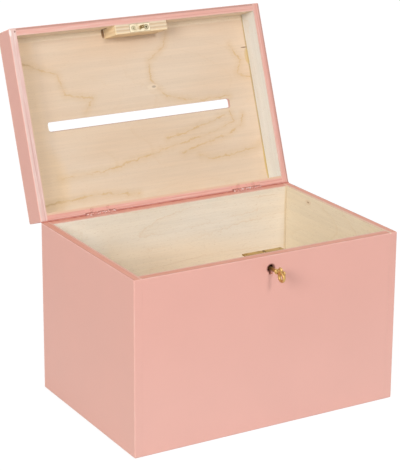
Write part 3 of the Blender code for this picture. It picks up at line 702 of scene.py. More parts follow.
@dataclass(frozen=True)
class PlyEdges:
    """The bare sawn faces of a plywood strip: pale plies with thin glue lines between them.

    A pale and a tan ply make one turn, and the tan one's rise and fall are shares of that turn, as is
    the glue line's width. The waver and the fibres are sizes along and across the strip.
    """

    pale: Colour = (0.800, 0.640, 0.460)
    tan: Colour = (0.700, 0.510, 0.320)
    glue: Colour = (0.380, 0.240, 0.120)
    ply: float = 1.9 * MM
    tan_rise: Pair = (0.46, 0.54)
    tan_fall: Pair = (0.93, 0.99)
    glue_width: Pair = (0.02, 0.06)
    glue_share: float = 0.45
    waver: Pair = (40 * MM, 2 * MM)
    waver_share: float = 0.35
    fibres: Pair = (5 * MM, 0.4 * MM)
    fibre_tones: Pair = (0.93, 1.04)
    fibre_height: float = 0.03
    roughness: float = 0.7

    def coat(self, recipe: Recipe, grain: Grain, stack: Grain, seed: float) -> Coat:
        """The coat on a strip.

        Args:
            recipe: The material that is being made.
            grain: The axis along which the strip runs.
            stack: The axis along which its plies are stacked.
            seed: Picks its own pattern.

        Returns:
            The coat.
        """
        place = recipe.parts(recipe.place)[stack.value]
        waver = recipe.pattern(grain.sizes(*self.waver), seed)
        turns = recipe.math("DIVIDE", place, 2 * self.ply)
        turns = recipe.math("MULTIPLY_ADD", waver, self.waver_share, turns)
        phase = recipe.math("FRACT", turns)
        rise, fall = recipe.span(phase, *self.tan_rise), recipe.span(phase, *self.tan_fall, 1.0, 0.0)
        colour = recipe.blend(recipe.math("MULTIPLY", rise, fall), self.pale, self.tan)
        near = recipe.math("ABSOLUTE", recipe.math("SUBTRACT", phase, 0.5))
        glue = recipe.span(near, *self.glue_width, self.glue_share, 0.0)
        colour = recipe.blend(glue, colour, self.glue)
        fibres = recipe.pattern(grain.sizes(*self.fibres), seed + 1.0, rough=0.6)
        colour = recipe.toned(colour, recipe.swing(fibres, *self.fibre_tones))
        return Coat(colour, self.roughness, recipe.math("MULTIPLY", fibres, self.fibre_height))


@dataclass(frozen=True)
class Metal:
    """Bare metal with fine scratches, uneven sheen, a little tarnish and painted shade in its creases.
    """

    name: str
    colour: Colour
    tarnish: Colour
    roughness: float
    crease: float = 1.2 * MM
    crease_shade_range: Pair = (0.25, 0.80)
    crease_shade_share: float = 0.9
    patch: float = 5 * MM
    patch_roughness: float = 0.12
    worn_range: Pair = (0.42, 0.72)
    worn_share: float = 0.4
    scratches: Place = (0.25 * MM, 4 * MM, 0.25 * MM)
    scratch_range: Pair = (0.4, 0.8)
    scratch_height: float = 0.004
    scratch_roughness: float = 0.08

    def material(
        self,
        hinge: HingeLine | None = None,
        spots: tuple[Spot, ...] = (),
    ) -> bpy.types.Material:
        """The metal's material.

        Args:
            hinge: The lid's hinge line for a fitting of the lid.
            spots: Marks on it.

        Returns:
            The material.
        """
        recipe = Recipe(self.name, hinge)
        patch = recipe.pattern(self.patch, seed=2.0, detail=3.0, rough=0.6)
        scratch = recipe.pattern(self.scratches, seed=5.0, rough=0.7)
        worn = recipe.span(patch, *self.worn_range, 0.0, self.worn_share)
        # Painted shade: creases and recesses darken towards the tarnish colour, along with the worn
        # patches.
        crease_shade = recipe.span(recipe.open_to_light(self.crease), *self.crease_shade_range, self.crease_shade_share, 0.0)
        colour = recipe.blend(recipe.math("MAXIMUM", worn, crease_shade), self.colour, self.tarnish)
        patches = recipe.swing(patch, self.roughness, self.roughness + self.patch_roughness)
        scratches = recipe.span(scratch, *self.scratch_range, 0.0, self.scratch_roughness)
        relief = recipe.math("MULTIPLY", scratch, self.scratch_height)
        coat = Coat(colour, recipe.math("ADD", patches, scratches), relief)
        return recipe.finish(marked(recipe, coat, spots), metallic=1.0)


@dataclass(frozen=True)
class PaintedSteel:
    """Steel fittings that the pink paint went over, chipped where the barrel's knuckles rub, with
    painted shade in their creases and on the barrel.
    """

    name: str = "painted_over_steel"
    paint: Colour = (0.790, 0.400, 0.325)
    # shade is the colour of the darker dabs of paint and of the painted shade in creases.
    shade: Colour = (0.480, 0.200, 0.150)
    # joint is painted shade: the barrel darkens where the gap between lid and body lies in shade.
    joint: Colour = (0.500, 0.170, 0.125)
    steel: Colour = (0.850, 0.800, 0.770)
    paint_roughness: float = 0.5
    steel_roughness: float = 0.3
    barrel: float = 2.3 * MM
    barrel_full: float = 1.84 * MM
    crease: float = 0.8 * MM
    crease_shade_range: Pair = (0.2, 0.7)
    crease_shade_share: float = 0.15
    dab: float = 2.2 * MM
    dab_range: Pair = (0.55, 0.75)
    dab_share: float = 0.35
    dab_height: float = 0.05
    joint_range: Pair = (0.35, 0.60)
    joint_shares: Pair = (0.45, 0.90)
    chips: Place = (2.4 * MM, 0.8 * MM, 0.8 * MM)
    chip_range: Pair = (0.57, 0.65)
    chip_depth: float = 0.03

    def material(
        self,
        hinge: HingeLine | None = None,
        spots: tuple[Spot, ...] = (),
    ) -> bpy.types.Material:
        """The fittings' material.

        Args:
            hinge: The lid's hinge line for a fitting of the lid.
            spots: Marks on it.

        Returns:
            The material.
        """
        recipe = Recipe(self.name, hinge)
        dab = recipe.pattern(self.dab, seed=3.0, detail=3.0, rough=0.6)
        # Painted shade in creases, and darker dabs of paint.
        crease_shade = recipe.span(recipe.open_to_light(self.crease), *self.crease_shade_range, self.crease_shade_share, 0.0)
        dabs = recipe.span(dab, *self.dab_range, 0.0, self.dab_share)
        colour = recipe.blend(recipe.math("MAXIMUM", crease_shade, dabs), self.paint, self.shade)
        # Painted shade on the barrel, along the gap between lid and body.
        behind = recipe.parts(recipe.place)[1]
        on_barrel = recipe.span(behind, HALF_DEPTH - self.barrel, HALF_DEPTH - self.barrel_full)
        barrel_shade = recipe.span(dab, *self.joint_range, *self.joint_shares)
        colour = recipe.blend(recipe.math("MULTIPLY", on_barrel, barrel_shade), colour, self.joint)
        chips = recipe.pattern(self.chips, seed=11.0, rough=0.55)
        bare = recipe.math("MULTIPLY", recipe.span(chips, *self.chip_range), on_barrel)
        colour = recipe.blend(bare, colour, self.steel)
        rough = recipe.between(bare, self.paint_roughness, self.steel_roughness)
        relief = recipe.math("MULTIPLY", dab, self.dab_height)
        relief = recipe.math("MULTIPLY_ADD", bare, -self.chip_depth, relief)
        coat = Coat(colour, rough, relief)
        return recipe.finish(marked(recipe, coat, spots), metallic=bare)


@dataclass(frozen=True)
class Board:
    """One board: its node, the side that stays bare, how its wood runs, and the marks on it.

    The seed picks the board's patterns, and each pattern adds a number of its own to it. The growth
    lines, the broad colour patches and patches of painted light on the bare wood under them, and the
    marks on top are in millimetres, in the shut box's place.
    """

    node: str
    bare: Side
    grain: Grain
    seed: float
    rim: Side | None = Side.UP
    rim_height: float = BODY_HEIGHT
    lap: float = 0.7 * MM
    lap_wave: float = 5 * MM
    lap_edge: Pair = (-0.05 * MM, 0.1 * MM)
    paint: PinkPaint = PinkPaint()
    veneer: BirchVeneer = BirchVeneer()
    lines: tuple[Path, ...] = ()
    tints_and_painted_light: tuple[Spot, ...] = ()
    bare_spots: tuple[Spot, ...] = ()
    painted_spots: tuple[Spot, ...] = ()

    def thickness(self) -> tuple[int, float]:
        """The axis across the board, and how far its outer face is from the box's middle."""
        axis = 0 if self.bare.value[0] else 1
        return axis, (HALF_WIDTH, HALF_DEPTH)[axis]

    def material(self, hinge: HingeLine | None = None) -> bpy.types.Material:
        """The board's material: paint all over, except for bare veneer on the side that looks inwards.

        Args:
            hinge: The lid's hinge line for a board of the lid.

        Returns:
            The material.
        """
        recipe = Recipe(self.node + "_finish", hinge)
        bare = self.bare_coat(recipe)
        painted = marked(recipe, self.paint.coat(recipe, self), self.painted_spots)
        return recipe.finish(recipe.laid_over(painted, bare, self.bare_share(recipe)))

    def bare_coat(self, recipe: Recipe) -> Coat:
        """The coat on the side that stays bare."""
        return self.veneer.coat(recipe, self)

    def bare_share(self, recipe: Recipe) -> Socket:
        """1 where the board is bare: on its inner side, past the paint's lap."""
        return recipe.math("MULTIPLY", recipe.looks_to(self.bare), self.past_lap(recipe))

    def past_lap(self, recipe: Recipe) -> Socket:
        """Finds where the paint that laps over the rim ends.

        Args:
            recipe: The material that is being made.

        Returns:
            1 further from the rim than the lap reaches, otherwise 0.
        """
        from_rim = recipe.math("SUBTRACT", recipe.parts(recipe.place)[2], self.rim_height)
        wave = recipe.pattern(self.lap_wave, self.seed, rough=0.6)
        reach = recipe.math("MULTIPLY", wave, self.lap)
        past = recipe.math("SUBTRACT", recipe.math("ABSOLUTE", from_rim), reach)
        return recipe.span(past, *self.lap_edge)


@dataclass(frozen=True)
class SlottedBoard(Board):
    """The lid's top, where paint laps a little way round the slot's lower and right edges, darkened
    there as painted shade.
    """

    slot_middle: Pair = (-2.2 * MM, 3.1 * MM)
    slot_half: Pair = (110 * MM, 5 * MM)
    corner: float = 2.5 * MM
    # Shifts the line towards the slot's lower and right edges, where the painted shade goes.
    sag: float = 0.45 * MM
    slot_lap: float = 0.35 * MM
    slot_paint_and_shade: Colour = (0.440, 0.255, 0.200)
    slot_share: float = 0.85

    def bare_coat(self, recipe: Recipe) -> Coat:
        """The veneer's coat, with the lapped paint and painted shade at the slot's edges on it.

        Args:
            recipe: The material that is being made.

        Returns:
            The coat.
        """
        bare = self.veneer.coat(recipe, self)
        x, y, _ = recipe.parts(recipe.place)
        reaches = []
        for value, middle, half in zip((x, y), self.slot_middle, self.slot_half):
            offset = recipe.math("ABSOLUTE", recipe.math("SUBTRACT", value, middle + self.sag))
            straight = recipe.math("SUBTRACT", offset, half - self.corner)
            reaches.append(recipe.math("MAXIMUM", straight, 0.0))
        reach = recipe.vector_math("LENGTH", recipe.vector(*reaches, 0.0))
        # A dark line round the slot's lower and right edges: lapped paint, darkened as painted shade.
        edge = recipe.span(reach, self.corner, self.corner + self.slot_lap, self.slot_share, 0.0)
        return replace(bare, colour=recipe.blend(edge, bare.colour, self.slot_paint_and_shade))

    def bare_share(self, recipe: Recipe) -> Socket:
        """1 on the whole inner side, because the top has no rim of its own."""
        return recipe.looks_to(self.bare)


def dress(node: str, material: bpy.types.Material) -> None:
    """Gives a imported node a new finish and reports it.

    Args:
        node: The node's name.
        material: The finish.
    """
    for slot in frame["nodes"][node].material_slots:
        slot.material = material
    log.info("%s: dressed in %s", node, material.name)


def placed(
    name: str,
    bm: bmesh.types.BMesh,
    body: str,
    material: bpy.types.Material,
) -> bpy.types.Object:
    """Makes an object of a mesh that was built in the frame's place and lets it ride on a body.

    Args:
        name: The object's name.
        bm: The mesh, which is used up.
        body: The body's name.
        material: The finish.

    Returns:
        The object.
    """
    mesh = bpy.data.meshes.new(name)
    bmesh.ops.recalc_face_normals(bm, faces=bm.faces)
    bm.to_mesh(mesh)
    bm.free()
    mesh.polygons.foreach_set("use_smooth", [True] * len(mesh.polygons))
    mesh.set_sharp_from_angle(angle=SMOOTH_ANGLE)
    mesh.materials.append(material)
    made = bpy.data.objects.new(name, mesh)
    bpy.context.scene.collection.objects.link(made)
    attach(made, body)
    log.info("%s: %d faces on %s", name, len(mesh.polygons), body)
    return made


@dataclass(frozen=True)
class Softbox:
    """A square lamp that faces the box.

    It stands left of straight ahead and above the box's middle by angles in degrees. Its level is what
    it adds to the brightness of a surface that faces it.
    """

    name: str
    left: float
    up: float
    level: float
    size: float = 1.3
    distance: float = 4.0

    def build(self) -> None:
        """Hangs the lamp."""
        left, up = math.radians(self.left), math.radians(self.up)
        away = Vector((-math.sin(left) * math.cos(up), -math.cos(left) * math.cos(up), math.sin(up)))
        light = bpy.data.lights.new(self.name, "AREA")
        light.shape = "SQUARE"
        light.size = self.size
        light.energy = self.level * (math.pi * self.distance) ** 2
        lamp = bpy.data.objects.new(self.name, light)
        lamp.location = Vector((0, 0, BODY_HEIGHT)) + self.distance * away
        lamp.rotation_euler = away.to_track_quat("Z", "Y").to_euler()
        bpy.context.scene.collection.objects.link(lamp)


@dataclass
class Studio:
    """A pale floor, soft light and a camera where the photograph was taken from."""

    camera_place: Vector = field(default_factory=lambda: Vector((-0.87112, -1.45620, 0.72736)))
    azimuth: float = math.radians(30.26)
    elevation: float = math.radians(16.62)
    roll: float = math.radians(0.335)
    focal_pixels: float = 1763.85
    shift: float = -0.10
    floor_size: float = 6.0
    floor_sides: int = 64
    floor_drop: float = 0.2 * MM
    floor_glow: float = 1.24
    floor_glow_share: float = 0.72
    paper: tuple[Colour, Colour] = ((0.59, 0.59, 0.59), (0.63, 0.63, 0.63))
    paper_tooth: float = 0.8 * MM
    paper_relief: float = 0.02
    paper_roughness: float = 0.9
    paper_specular: float = 0.1
    sky: float = 0.44
    softboxes: tuple[Softbox, ...] = (
        Softbox("side_softbox", 54, 23, 0.51),
        Softbox("high_softbox", -4, 33, 0.26, 0.6),
        Softbox("back_softbox", 178, 8, 0.26),
        Softbox("right_softbox", 265, 6, 0.20),
    )

    def build(self) -> None:
        """Sets up floor, world, lamps and camera."""
        self.floor()
        self.world()
        for softbox in self.softboxes:
            softbox.build()
        self.camera()
        bpy.context.scene.view_settings.view_transform = "Standard"

    def floor(self) -> None:
        """A sheet of white paper that shows the camera a faint shadow and nothing else."""
        bm = bmesh.new()
        radius = self.floor_size / 2
        bmesh.ops.create_circle(bm, cap_ends=True, segments=self.floor_sides, radius=radius)
        mesh = bpy.data.meshes.new("paper_floor")
        bm.to_mesh(mesh)
        bm.free()
        floor = bpy.data.objects.new("paper_floor", mesh)
        floor.location.z = -self.floor_drop
        bpy.context.scene.collection.objects.link(floor)
        mesh.materials.append(self.white_paper())

    def white_paper(self) -> bpy.types.Material:
        """The floor's material: white paper, whose own glow hides most of the shadow from the camera.

        Returns:
            The material.
        """
        recipe = Recipe("white_paper")
        tooth = recipe.pattern(self.paper_tooth, seed=0.0)
        colour = recipe.blend(tooth, *self.paper)
        relief = recipe.math("MULTIPLY", tooth, self.paper_relief)
        recipe.finish(Coat(colour, self.paper_roughness, relief), specular=self.paper_specular)
        share = recipe.math("MULTIPLY", self.seen(recipe.nodes, recipe.links), self.floor_glow_share)
        glow = recipe.node("ShaderNodeEmission", {"Color": (1, 1, 1), "Strength": self.floor_glow})
        values = {0: share, 1: recipe.shader.outputs[0], 2: glow.outputs[0]}
        surface = recipe.node("ShaderNodeMixShader", values).outputs[0]
        recipe.feed(recipe.nodes["Material Output"].inputs["Surface"], surface)
        return recipe.material

    def seen(self, nodes: bpy.types.Nodes, links: bpy.types.NodeLinks) -> Socket:
        """Tells what the camera sees, straight or by way of a reflection or glass, from what lights.

        Args:
            nodes: The nodes of the material or world.
            links: Their links.

        Returns:
            1 for what the camera sees, otherwise 0.
        """
        path = nodes.new("ShaderNodeLightPath")
        total = path.outputs["Is Camera Ray"]
        for ray in ("Is Glossy Ray", "Is Transmission Ray"):
            either = nodes.new("ShaderNodeMath")
            either.operation = "MAXIMUM"
            links.new(total, either.inputs[0])
            links.new(path.outputs[ray], either.inputs[1])
            total = either.outputs[0]
        return total

    def world(self) -> None:
        """White to look at, and a softer level of light from all round."""
        world = bpy.data.worlds.new("studio")
        bpy.context.scene.world = world
        world.use_nodes = True
        nodes, links = world.node_tree.nodes, world.node_tree.links
        sky = nodes["Background"]
        sky.inputs["Color"].default_value = (1, 1, 1, 1)
        level = nodes.new("ShaderNodeMapRange")
        links.new(self.seen(nodes, links), level.inputs["Value"])
        level.inputs["To Min"].default_value = self.sky
        level.inputs["To Max"].default_value = 1.0
        links.new(level.outputs[0], sky.inputs["Strength"])

    def camera(self) -> None:
        """The camera: its lens gives the photograph's scale at the photograph's height in pixels."""
        data = bpy.data.cameras.new("camera")
        data.sensor_width = SENSOR
        data.lens = self.focal_pixels / PHOTO_HEIGHT * SENSOR
        data.shift_y = self.shift
        camera = bpy.data.objects.new("camera", data)
        turn = (
            Matrix.Rotation(-self.azimuth, 4, "Z")
            @ Matrix.Rotation(math.pi / 2 - self.elevation, 4, "X")
            @ Matrix.Rotation(self.roll, 4, "Z")
        )
        camera.matrix_world = Matrix.Translation(self.camera_place) @ turn
        bpy.context.scene.collection.objects.link(camera)
        bpy.context.scene.camera = camera


# A paler, whiter veneer for the box's inner boards, made lighter still as painted light for the inside
# of the box.
PALE_BIRCH = BirchVeneer(
    pale=(0.900, 0.820, 0.710),
    warm=(0.885, 0.780, 0.640),
    line=(0.750, 0.530, 0.330),
    rings=6.0,
    ring_strength=0.9,
    ring=(420 * MM, 60 * MM),
)
LIT_BIRCH = replace(PALE_BIRCH, pale=(0.950, 0.880, 0.780), warm=(0.940, 0.850, 0.720))
WHITE_BIRCH = BirchVeneer(
    pale=(0.835, 0.825, 0.770),
    warm=(0.825, 0.785, 0.700),
    line=(0.760, 0.600, 0.420),
    ring_strength=0.4,
)
YELLOW_BIRCH = BirchVeneer(
    pale=(0.870, 0.760, 0.580),
    warm=(0.850, 0.720, 0.520),
    line=(0.740, 0.560, 0.320),
    ring_strength=0.6,
)
# The lid's paint: its wide dark arris band is painted shade along the rails' outer edges.
LID_PAINT = PinkPaint(
    rim=(0.780, 0.400, 0.330),
    thin=(0.830, 0.540, 0.470),
    deep=(0.660, 0.300, 0.240),
    arris=(0.480, 0.240, 0.195),
    arris_full=1.3 * MM,
    arris_width=3.2 * MM,
)
BACK_RAIL_PAINT = replace(LID_PAINT, arris_full=0.4 * MM, arris_width=1.4 * MM)
# The left rail's paint: its pale rim, pale streaks and pale outer arris are painted highlight over the
# ply streaks, and its faces that look left are a shade deeper as painted shade.
HIGHLIT_RIM_PAINT = PinkPaint(
    left=(0.776, 0.402, 0.326),
    rim=(0.740, 0.480, 0.430),
    thin=(0.870, 0.670, 0.610),
    deep=(0.600, 0.340, 0.300),
    inner=(0.790, 0.490, 0.420),
    arris=(0.780, 0.570, 0.510),
    arris_full=1.6 * MM,
    arris_width=3.8 * MM,
)
DULL_BRASS = Metal("dull_brass", (0.740, 0.640, 0.460), (0.300, 0.210, 0.090), 0.40, 0.7 * MM)
DULL_SCREWS = replace(DULL_BRASS, name="dull_brass_screws", colour=(0.560, 0.500, 0.340))
SHEET_BRASS = Metal("sheet_brass", (0.550, 0.360, 0.105), (0.260, 0.140, 0.030), 0.32)
CAST_BRASS = Metal("cast_brass", (0.600, 0.390, 0.145), (0.160, 0.080, 0.018), 0.42, 1.8 * MM)
ZINC_PLATE = Metal("zinc_plated_steel", (0.420, 0.410, 0.400), (0.160, 0.150, 0.140), 0.34)
GLUE = (0.640, 0.450, 0.170)
SEAM = (0.520, 0.370, 0.170)
BARE_LIP = (0.840, 0.640, 0.480)
# A light gold for painted light on shaded bare wood.
PAINTED_GOLDEN_LIGHT = (0.900, 0.660, 0.430)
KNOT = (0.170, 0.080, 0.040)
# A dark brown for painted shade on the brass of the keeper and its screws.
BRASS_SHADE = (0.150, 0.090, 0.035)
LIP = Spot((0, 92, 180.3), (400, 2.5, 1.5), (0.755, 0.535, 0.370), 0.85)


@dataclass
class Carcass:
    """The box's own five boards."""

    boards: tuple[Board, ...] = (
        Board(
            "front_panel",
            Side.BACK,
            Grain.ACROSS_THE_BOX,
            1.3,
            veneer=PALE_BIRCH,
            painted_spots=(
                # Painted shade: dark inside the keyhole, and a dark ring round its mouth.
                Spot((0, -89.5, 167.5), (8, 10.4, 6.0), (0.130, 0.030, 0.014), 0.94),
                Spot((0, -100, 166.6), (5.1, 2, 5.1), (0.150, 0.040, 0.026), 0.9),
            ),
        ),
        Board(
            "back_panel",
            Side.FRONT,
            Grain.ACROSS_THE_BOX,
            12.7,
            veneer=PALE_BIRCH,
            tints_and_painted_light=(
                # Painted light: lighter, warmer patches on the inner face, low down and towards the
                # left wall, where the box's inside lies in shade.
                Spot((-30, 91, 72), (190, 5, 73), (0.955, 0.790, 0.600), 0.9),
                Spot((-110, 91, 118), (80, 5, 36), (1.000, 0.860, 0.680), 0.85),
                Spot((-135, 91, 145), (56, 5, 31), (1.000, 0.915, 0.790), 0.9),
            ),
            bare_spots=(Spot((141, 91, 120), (2.6, 5, 130), GLUE, 0.35),),
        ),
        Board("left_panel", Side.RIGHT, Grain.FRONT_TO_BACK, 23.1, veneer=LIT_BIRCH),
        Board(
            "right_panel",
            Side.LEFT,
            Grain.FRONT_TO_BACK,
            34.9,
            veneer=YELLOW_BIRCH,
            bare_spots=(
                Spot((141, 48.3, 172.2), (2, 2.0, 0.9), KNOT, 0.85),
                Spot((141, 48.3, 172.2), (4, 5.5, 3.0), (0.700, 0.500, 0.300), 0.35),
            ),
            painted_spots=(
                Spot((141, 0, 180), (2.6, 400, 1.5), BARE_LIP, 0.7),
                Spot((148.8, 85.2, 180), (1.0, 2.6, 2.0), (0.240, 0.110, 0.080), 0.8),
            ),
        ),
    )
    base: Board = Board("base_panel", Side.UP, Grain.ACROSS_THE_BOX, 45.3, veneer=PALE_BIRCH)

    def build(self) -> None:
        """Dresses the boards."""
        for board in self.boards:
            dress(board.node, board.material())
        recipe = Recipe("base_panel_finish")
        dress(self.base.node, recipe.finish(self.base.bare_coat(recipe)))


@dataclass
class Lid:
    """The lid's four rails and its slotted top."""

    hinge: HingeLine

    def rails(self) -> tuple[Board, ...]:
        """The four rails.

        Returns:
            Their boards.
        """
        alike = {"rim": Side.DOWN, "rim_height": LID_BOTTOM, "veneer": WHITE_BIRCH}
        return (
            Board(
                "lid_front_rail",
                Side.BACK,
                Grain.ACROSS_THE_BOX,
                51.3,
                paint=LID_PAINT,
                bare_spots=(
                    # The first spot is painted light: the rail's inner face, which lies in shade, made
                    # lighter and yellower.
                    Spot((0, -92, 193), (400, 2, 30), PAINTED_GOLDEN_LIGHT, 0.6),
                    Spot((-32, -92, 202), (1.7, 2, 8), (0.200, 0.100, 0.040), 0.92),
                ),
                **alike,
            ),
            Board(
                "lid_back_rail",
                Side.FRONT,
                Grain.ACROSS_THE_BOX,
                62.7,
                paint=BACK_RAIL_PAINT,
                painted_spots=(LIP,),
                **alike,
            ),
            Board(
                "lid_left_rail",
                Side.RIGHT,
                Grain.FRONT_TO_BACK,
                73.1,
                paint=HIGHLIT_RIM_PAINT,
                painted_spots=(
                    Spot((-148.8, -95.5, 180.3), (1.3, 4, 1.5), (0.950, 0.860, 0.830), 0.85),
                    Spot((-143.6, -96.4, 180.3), (1.0, 1.1, 1.5), (0.300, 0.110, 0.085), 0.85),
                ),
                **alike,
            ),
            Board("lid_right_rail", Side.LEFT, Grain.FRONT_TO_BACK, 84.9, paint=LID_PAINT, **alike),
        )

    def top(self) -> SlottedBoard:
        """The top, whose growth lines wander round a knot and run out along the fibres.

        Returns:
            Its board.
        """
        left_of_knot = (
            (-141, -68), (-125.6, -64), (-92.6, -49.7),
            (-86.8, -27.6), (-55.8, -20.8), (-66.5, -7.1),
        )
        past_the_knot = (
            (44, -84), (39, -68.2), (17.5, -53.8), (16, -32),
            (32.4, -12.6), (71.3, -3.6), (110, -5),
        )
        past_the_slot = (
            (-108.2, 59.1), (-51.1, 56.5), (-0.9, 47.2), (31.3, 40.7),
            (93, 30), (110, 22), (105.8, 12.5),
        )
        return SlottedBoard(
            "lid_panel",
            Side.DOWN,
            Grain.ACROSS_THE_BOX,
            95.5,
            rim=None,
            veneer=BirchVeneer(ring_strength=0.25),
            lines=(
                left_of_knot,
                past_the_knot,
                past_the_slot,
                ((24, 33), (52, 27), (80, 22), (99, 15)),
                ((40, 50), (70, 43), (98, 37), (118, 28), (122, 18)),
                ((60, 55), (77.9, 60.9), (97.3, 60.2), (130, 56), (141, 50)),
                ((-137.6, 83.8), (-67.2, 80.5), (-20, 86)),
                ((120, -60), (131, -42), (124, -28), (140, -22)),
            ),
            tints_and_painted_light=(
                Spot((-128, 62, 207), (30, 42, 4), (0.790, 0.580, 0.370), 0.7),
                # Painted light: lighter, warmer wood beside the left rail and below the front rail,
                # where the rails shade the top.
                Spot((-142, 0, 207), (28, 400, 3), (0.920, 0.700, 0.485), 0.85),
                Spot((0, -92, 207), (400, 5.6, 3), (1.000, 0.850, 0.660), 0.95),
            ),
            bare_spots=(
                Spot((18.5, -25.1, 207), (2.6, 1.3, 2), KNOT, 0.95),
                Spot((17, -25.1, 207), (7, 3.2, 4), (0.830, 0.680, 0.520), 0.5),
                Spot((138.3, -56, 207), (4.6, 0.7, 2), KNOT, 0.8),
                Spot((142, 0, 207), (1.9, 140, 3), SEAM, 0.75),
                Spot((141.6, 74, 207), (2.2, 22, 3), GLUE, 0.8),
                Spot((140, -46, 207), (3.0, 9, 3), GLUE, 0.6),
                Spot((-32, -88, 207), (1.7, 5.5, 2), (0.240, 0.130, 0.055), 0.92),
            ),
        )

    def build(self) -> None:
        """Dresses the boards."""
        for board in (*self.rails(), self.top()):
            dress(board.node, board.material(self.hinge))


@dataclass
class Hinges:
    """Two butt hinges that were painted over with the box, and a bead of paint along their line whose
    dark red is painted shade for the joint.
    """

    hinge: HingeLine
    bead_radius: float = 0.62 * MM
    bead_sides: int = 10
    bead_dab: Place = (6 * MM, 2 * MM, 2 * MM)
    # Painted shade: the bead's dark reds stand for the shaded gap between lid and body.
    bead_shade_colours: tuple[Colour, Colour] = ((0.520, 0.150, 0.108), (0.660, 0.260, 0.200))
    bead_roughness: float = 0.6
    bead_relief: float = 0.05
    runs: Path = ((-149.6, -99.2), (-63.8, 77.8), (113.2, 149.6))
    middles: Pair = (-81.5 * MM, 95.5 * MM)
    leaf_half: float = 17.25 * MM
    leaf_width: float = 7.0 * MM
    barrel_reach: float = 2.3 * MM
    gap: float = 0.3 * MM
    filled_from: float = 0.03 * MM
    filled_to: float = 0.9 * MM

    def build(self) -> None:
        """Dresses the hinges, lays the bead and fills the gaps round the leaves."""
        finish = PaintedSteel()
        on_body = finish.material()
        on_lid = finish.material(self.hinge, (LIP,))
        for side in ("left", "right"):
            for name in ("hinge_body_leaf", "hinge_pin", "hinge_body_screw_1", "hinge_body_screw_2"):
                dress(f"{side}_{name}", on_body)
            for name in ("hinge_lid_leaf", "hinge_lid_screw_1", "hinge_lid_screw_2"):
                dress(f"{side}_{name}", on_lid)
        self.bead()
        self.filled_gaps("body_leaf_paint", "root", BODY_HEIGHT, -1, Matrix(), on_body)
        opening = self.hinge.to_shut().inverted()
        self.filled_gaps("lid_leaf_paint", "lid", LID_BOTTOM, 1, opening, on_lid)

    def filled_gaps(
        self,
        name: str,
        body: str,
        face: float,
        inward: int,
        motion: Matrix,
        material: bpy.types.Material,
    ) -> None:
        """The paint that fills the narrow gaps between the leaves and the board they are let into.

        Args:
            name: The piece's name.
            body: The body that it rides on.
            face: The height of the board's rim when the box is shut.
            inward: 1 where the board is above its rim, otherwise -1.
            motion: What carries the shut board to its place at rest.
            material: The finish.
        """
        near = self.hinge.place.y - self.leaf_width
        behind = self.hinge.place.y - self.barrel_reach
        end = self.leaf_half + self.gap
        strips = (
            ((-end, near - self.gap), (end, near)),
            ((-end, near), (-self.leaf_half, behind)),
            ((self.leaf_half, near), (end, behind)),
        )
        low, high = face + inward * self.filled_from, face + inward * self.filled_to
        bm = bmesh.new()
        for middle in self.middles:
            for start, stop in strips:
                size = Matrix.Diagonal((stop[0] - start[0], stop[1] - start[1], abs(high - low), 1.0))
                place = (middle + (start[0] + stop[0]) / 2, (start[1] + stop[1]) / 2, (low + high) / 2)
                bmesh.ops.create_cube(bm, size=1.0, matrix=motion @ Matrix.Translation(place) @ size)
        placed(name, bm, body, material)

    def bead(self) -> None:
        """The paint that fills the joint between body and lid, which stays put as the lid turns; its
        dark red is painted shade for the gap.
        """
        recipe = Recipe("joint_paint_and_shade")
        dab = recipe.pattern(self.bead_dab, seed=4.0, detail=3.0, rough=0.6)
        colour = recipe.blend(recipe.swing(dab), *self.bead_shade_colours)
        relief = recipe.math("MULTIPLY", dab, self.bead_relief)
        material = recipe.finish(Coat(colour, self.bead_roughness, relief))
        along = Matrix.Rotation(math.pi / 2, 4, "Y")
        bm = bmesh.new()
        for start, end in self.runs:
            middle = ((start + end) / 2 * MM, self.hinge.place.y, self.hinge.place.z)
            bmesh.ops.create_cone(
                bm,
                cap_ends=True,
                segments=self.bead_sides,
                radius1=self.bead_radius,
                radius2=self.bead_radius,
                depth=(end - start) * MM,
                matrix=Matrix.Translation(middle) @ along,
            )
        placed("paint_and_shade_bead", bm, "root", material)


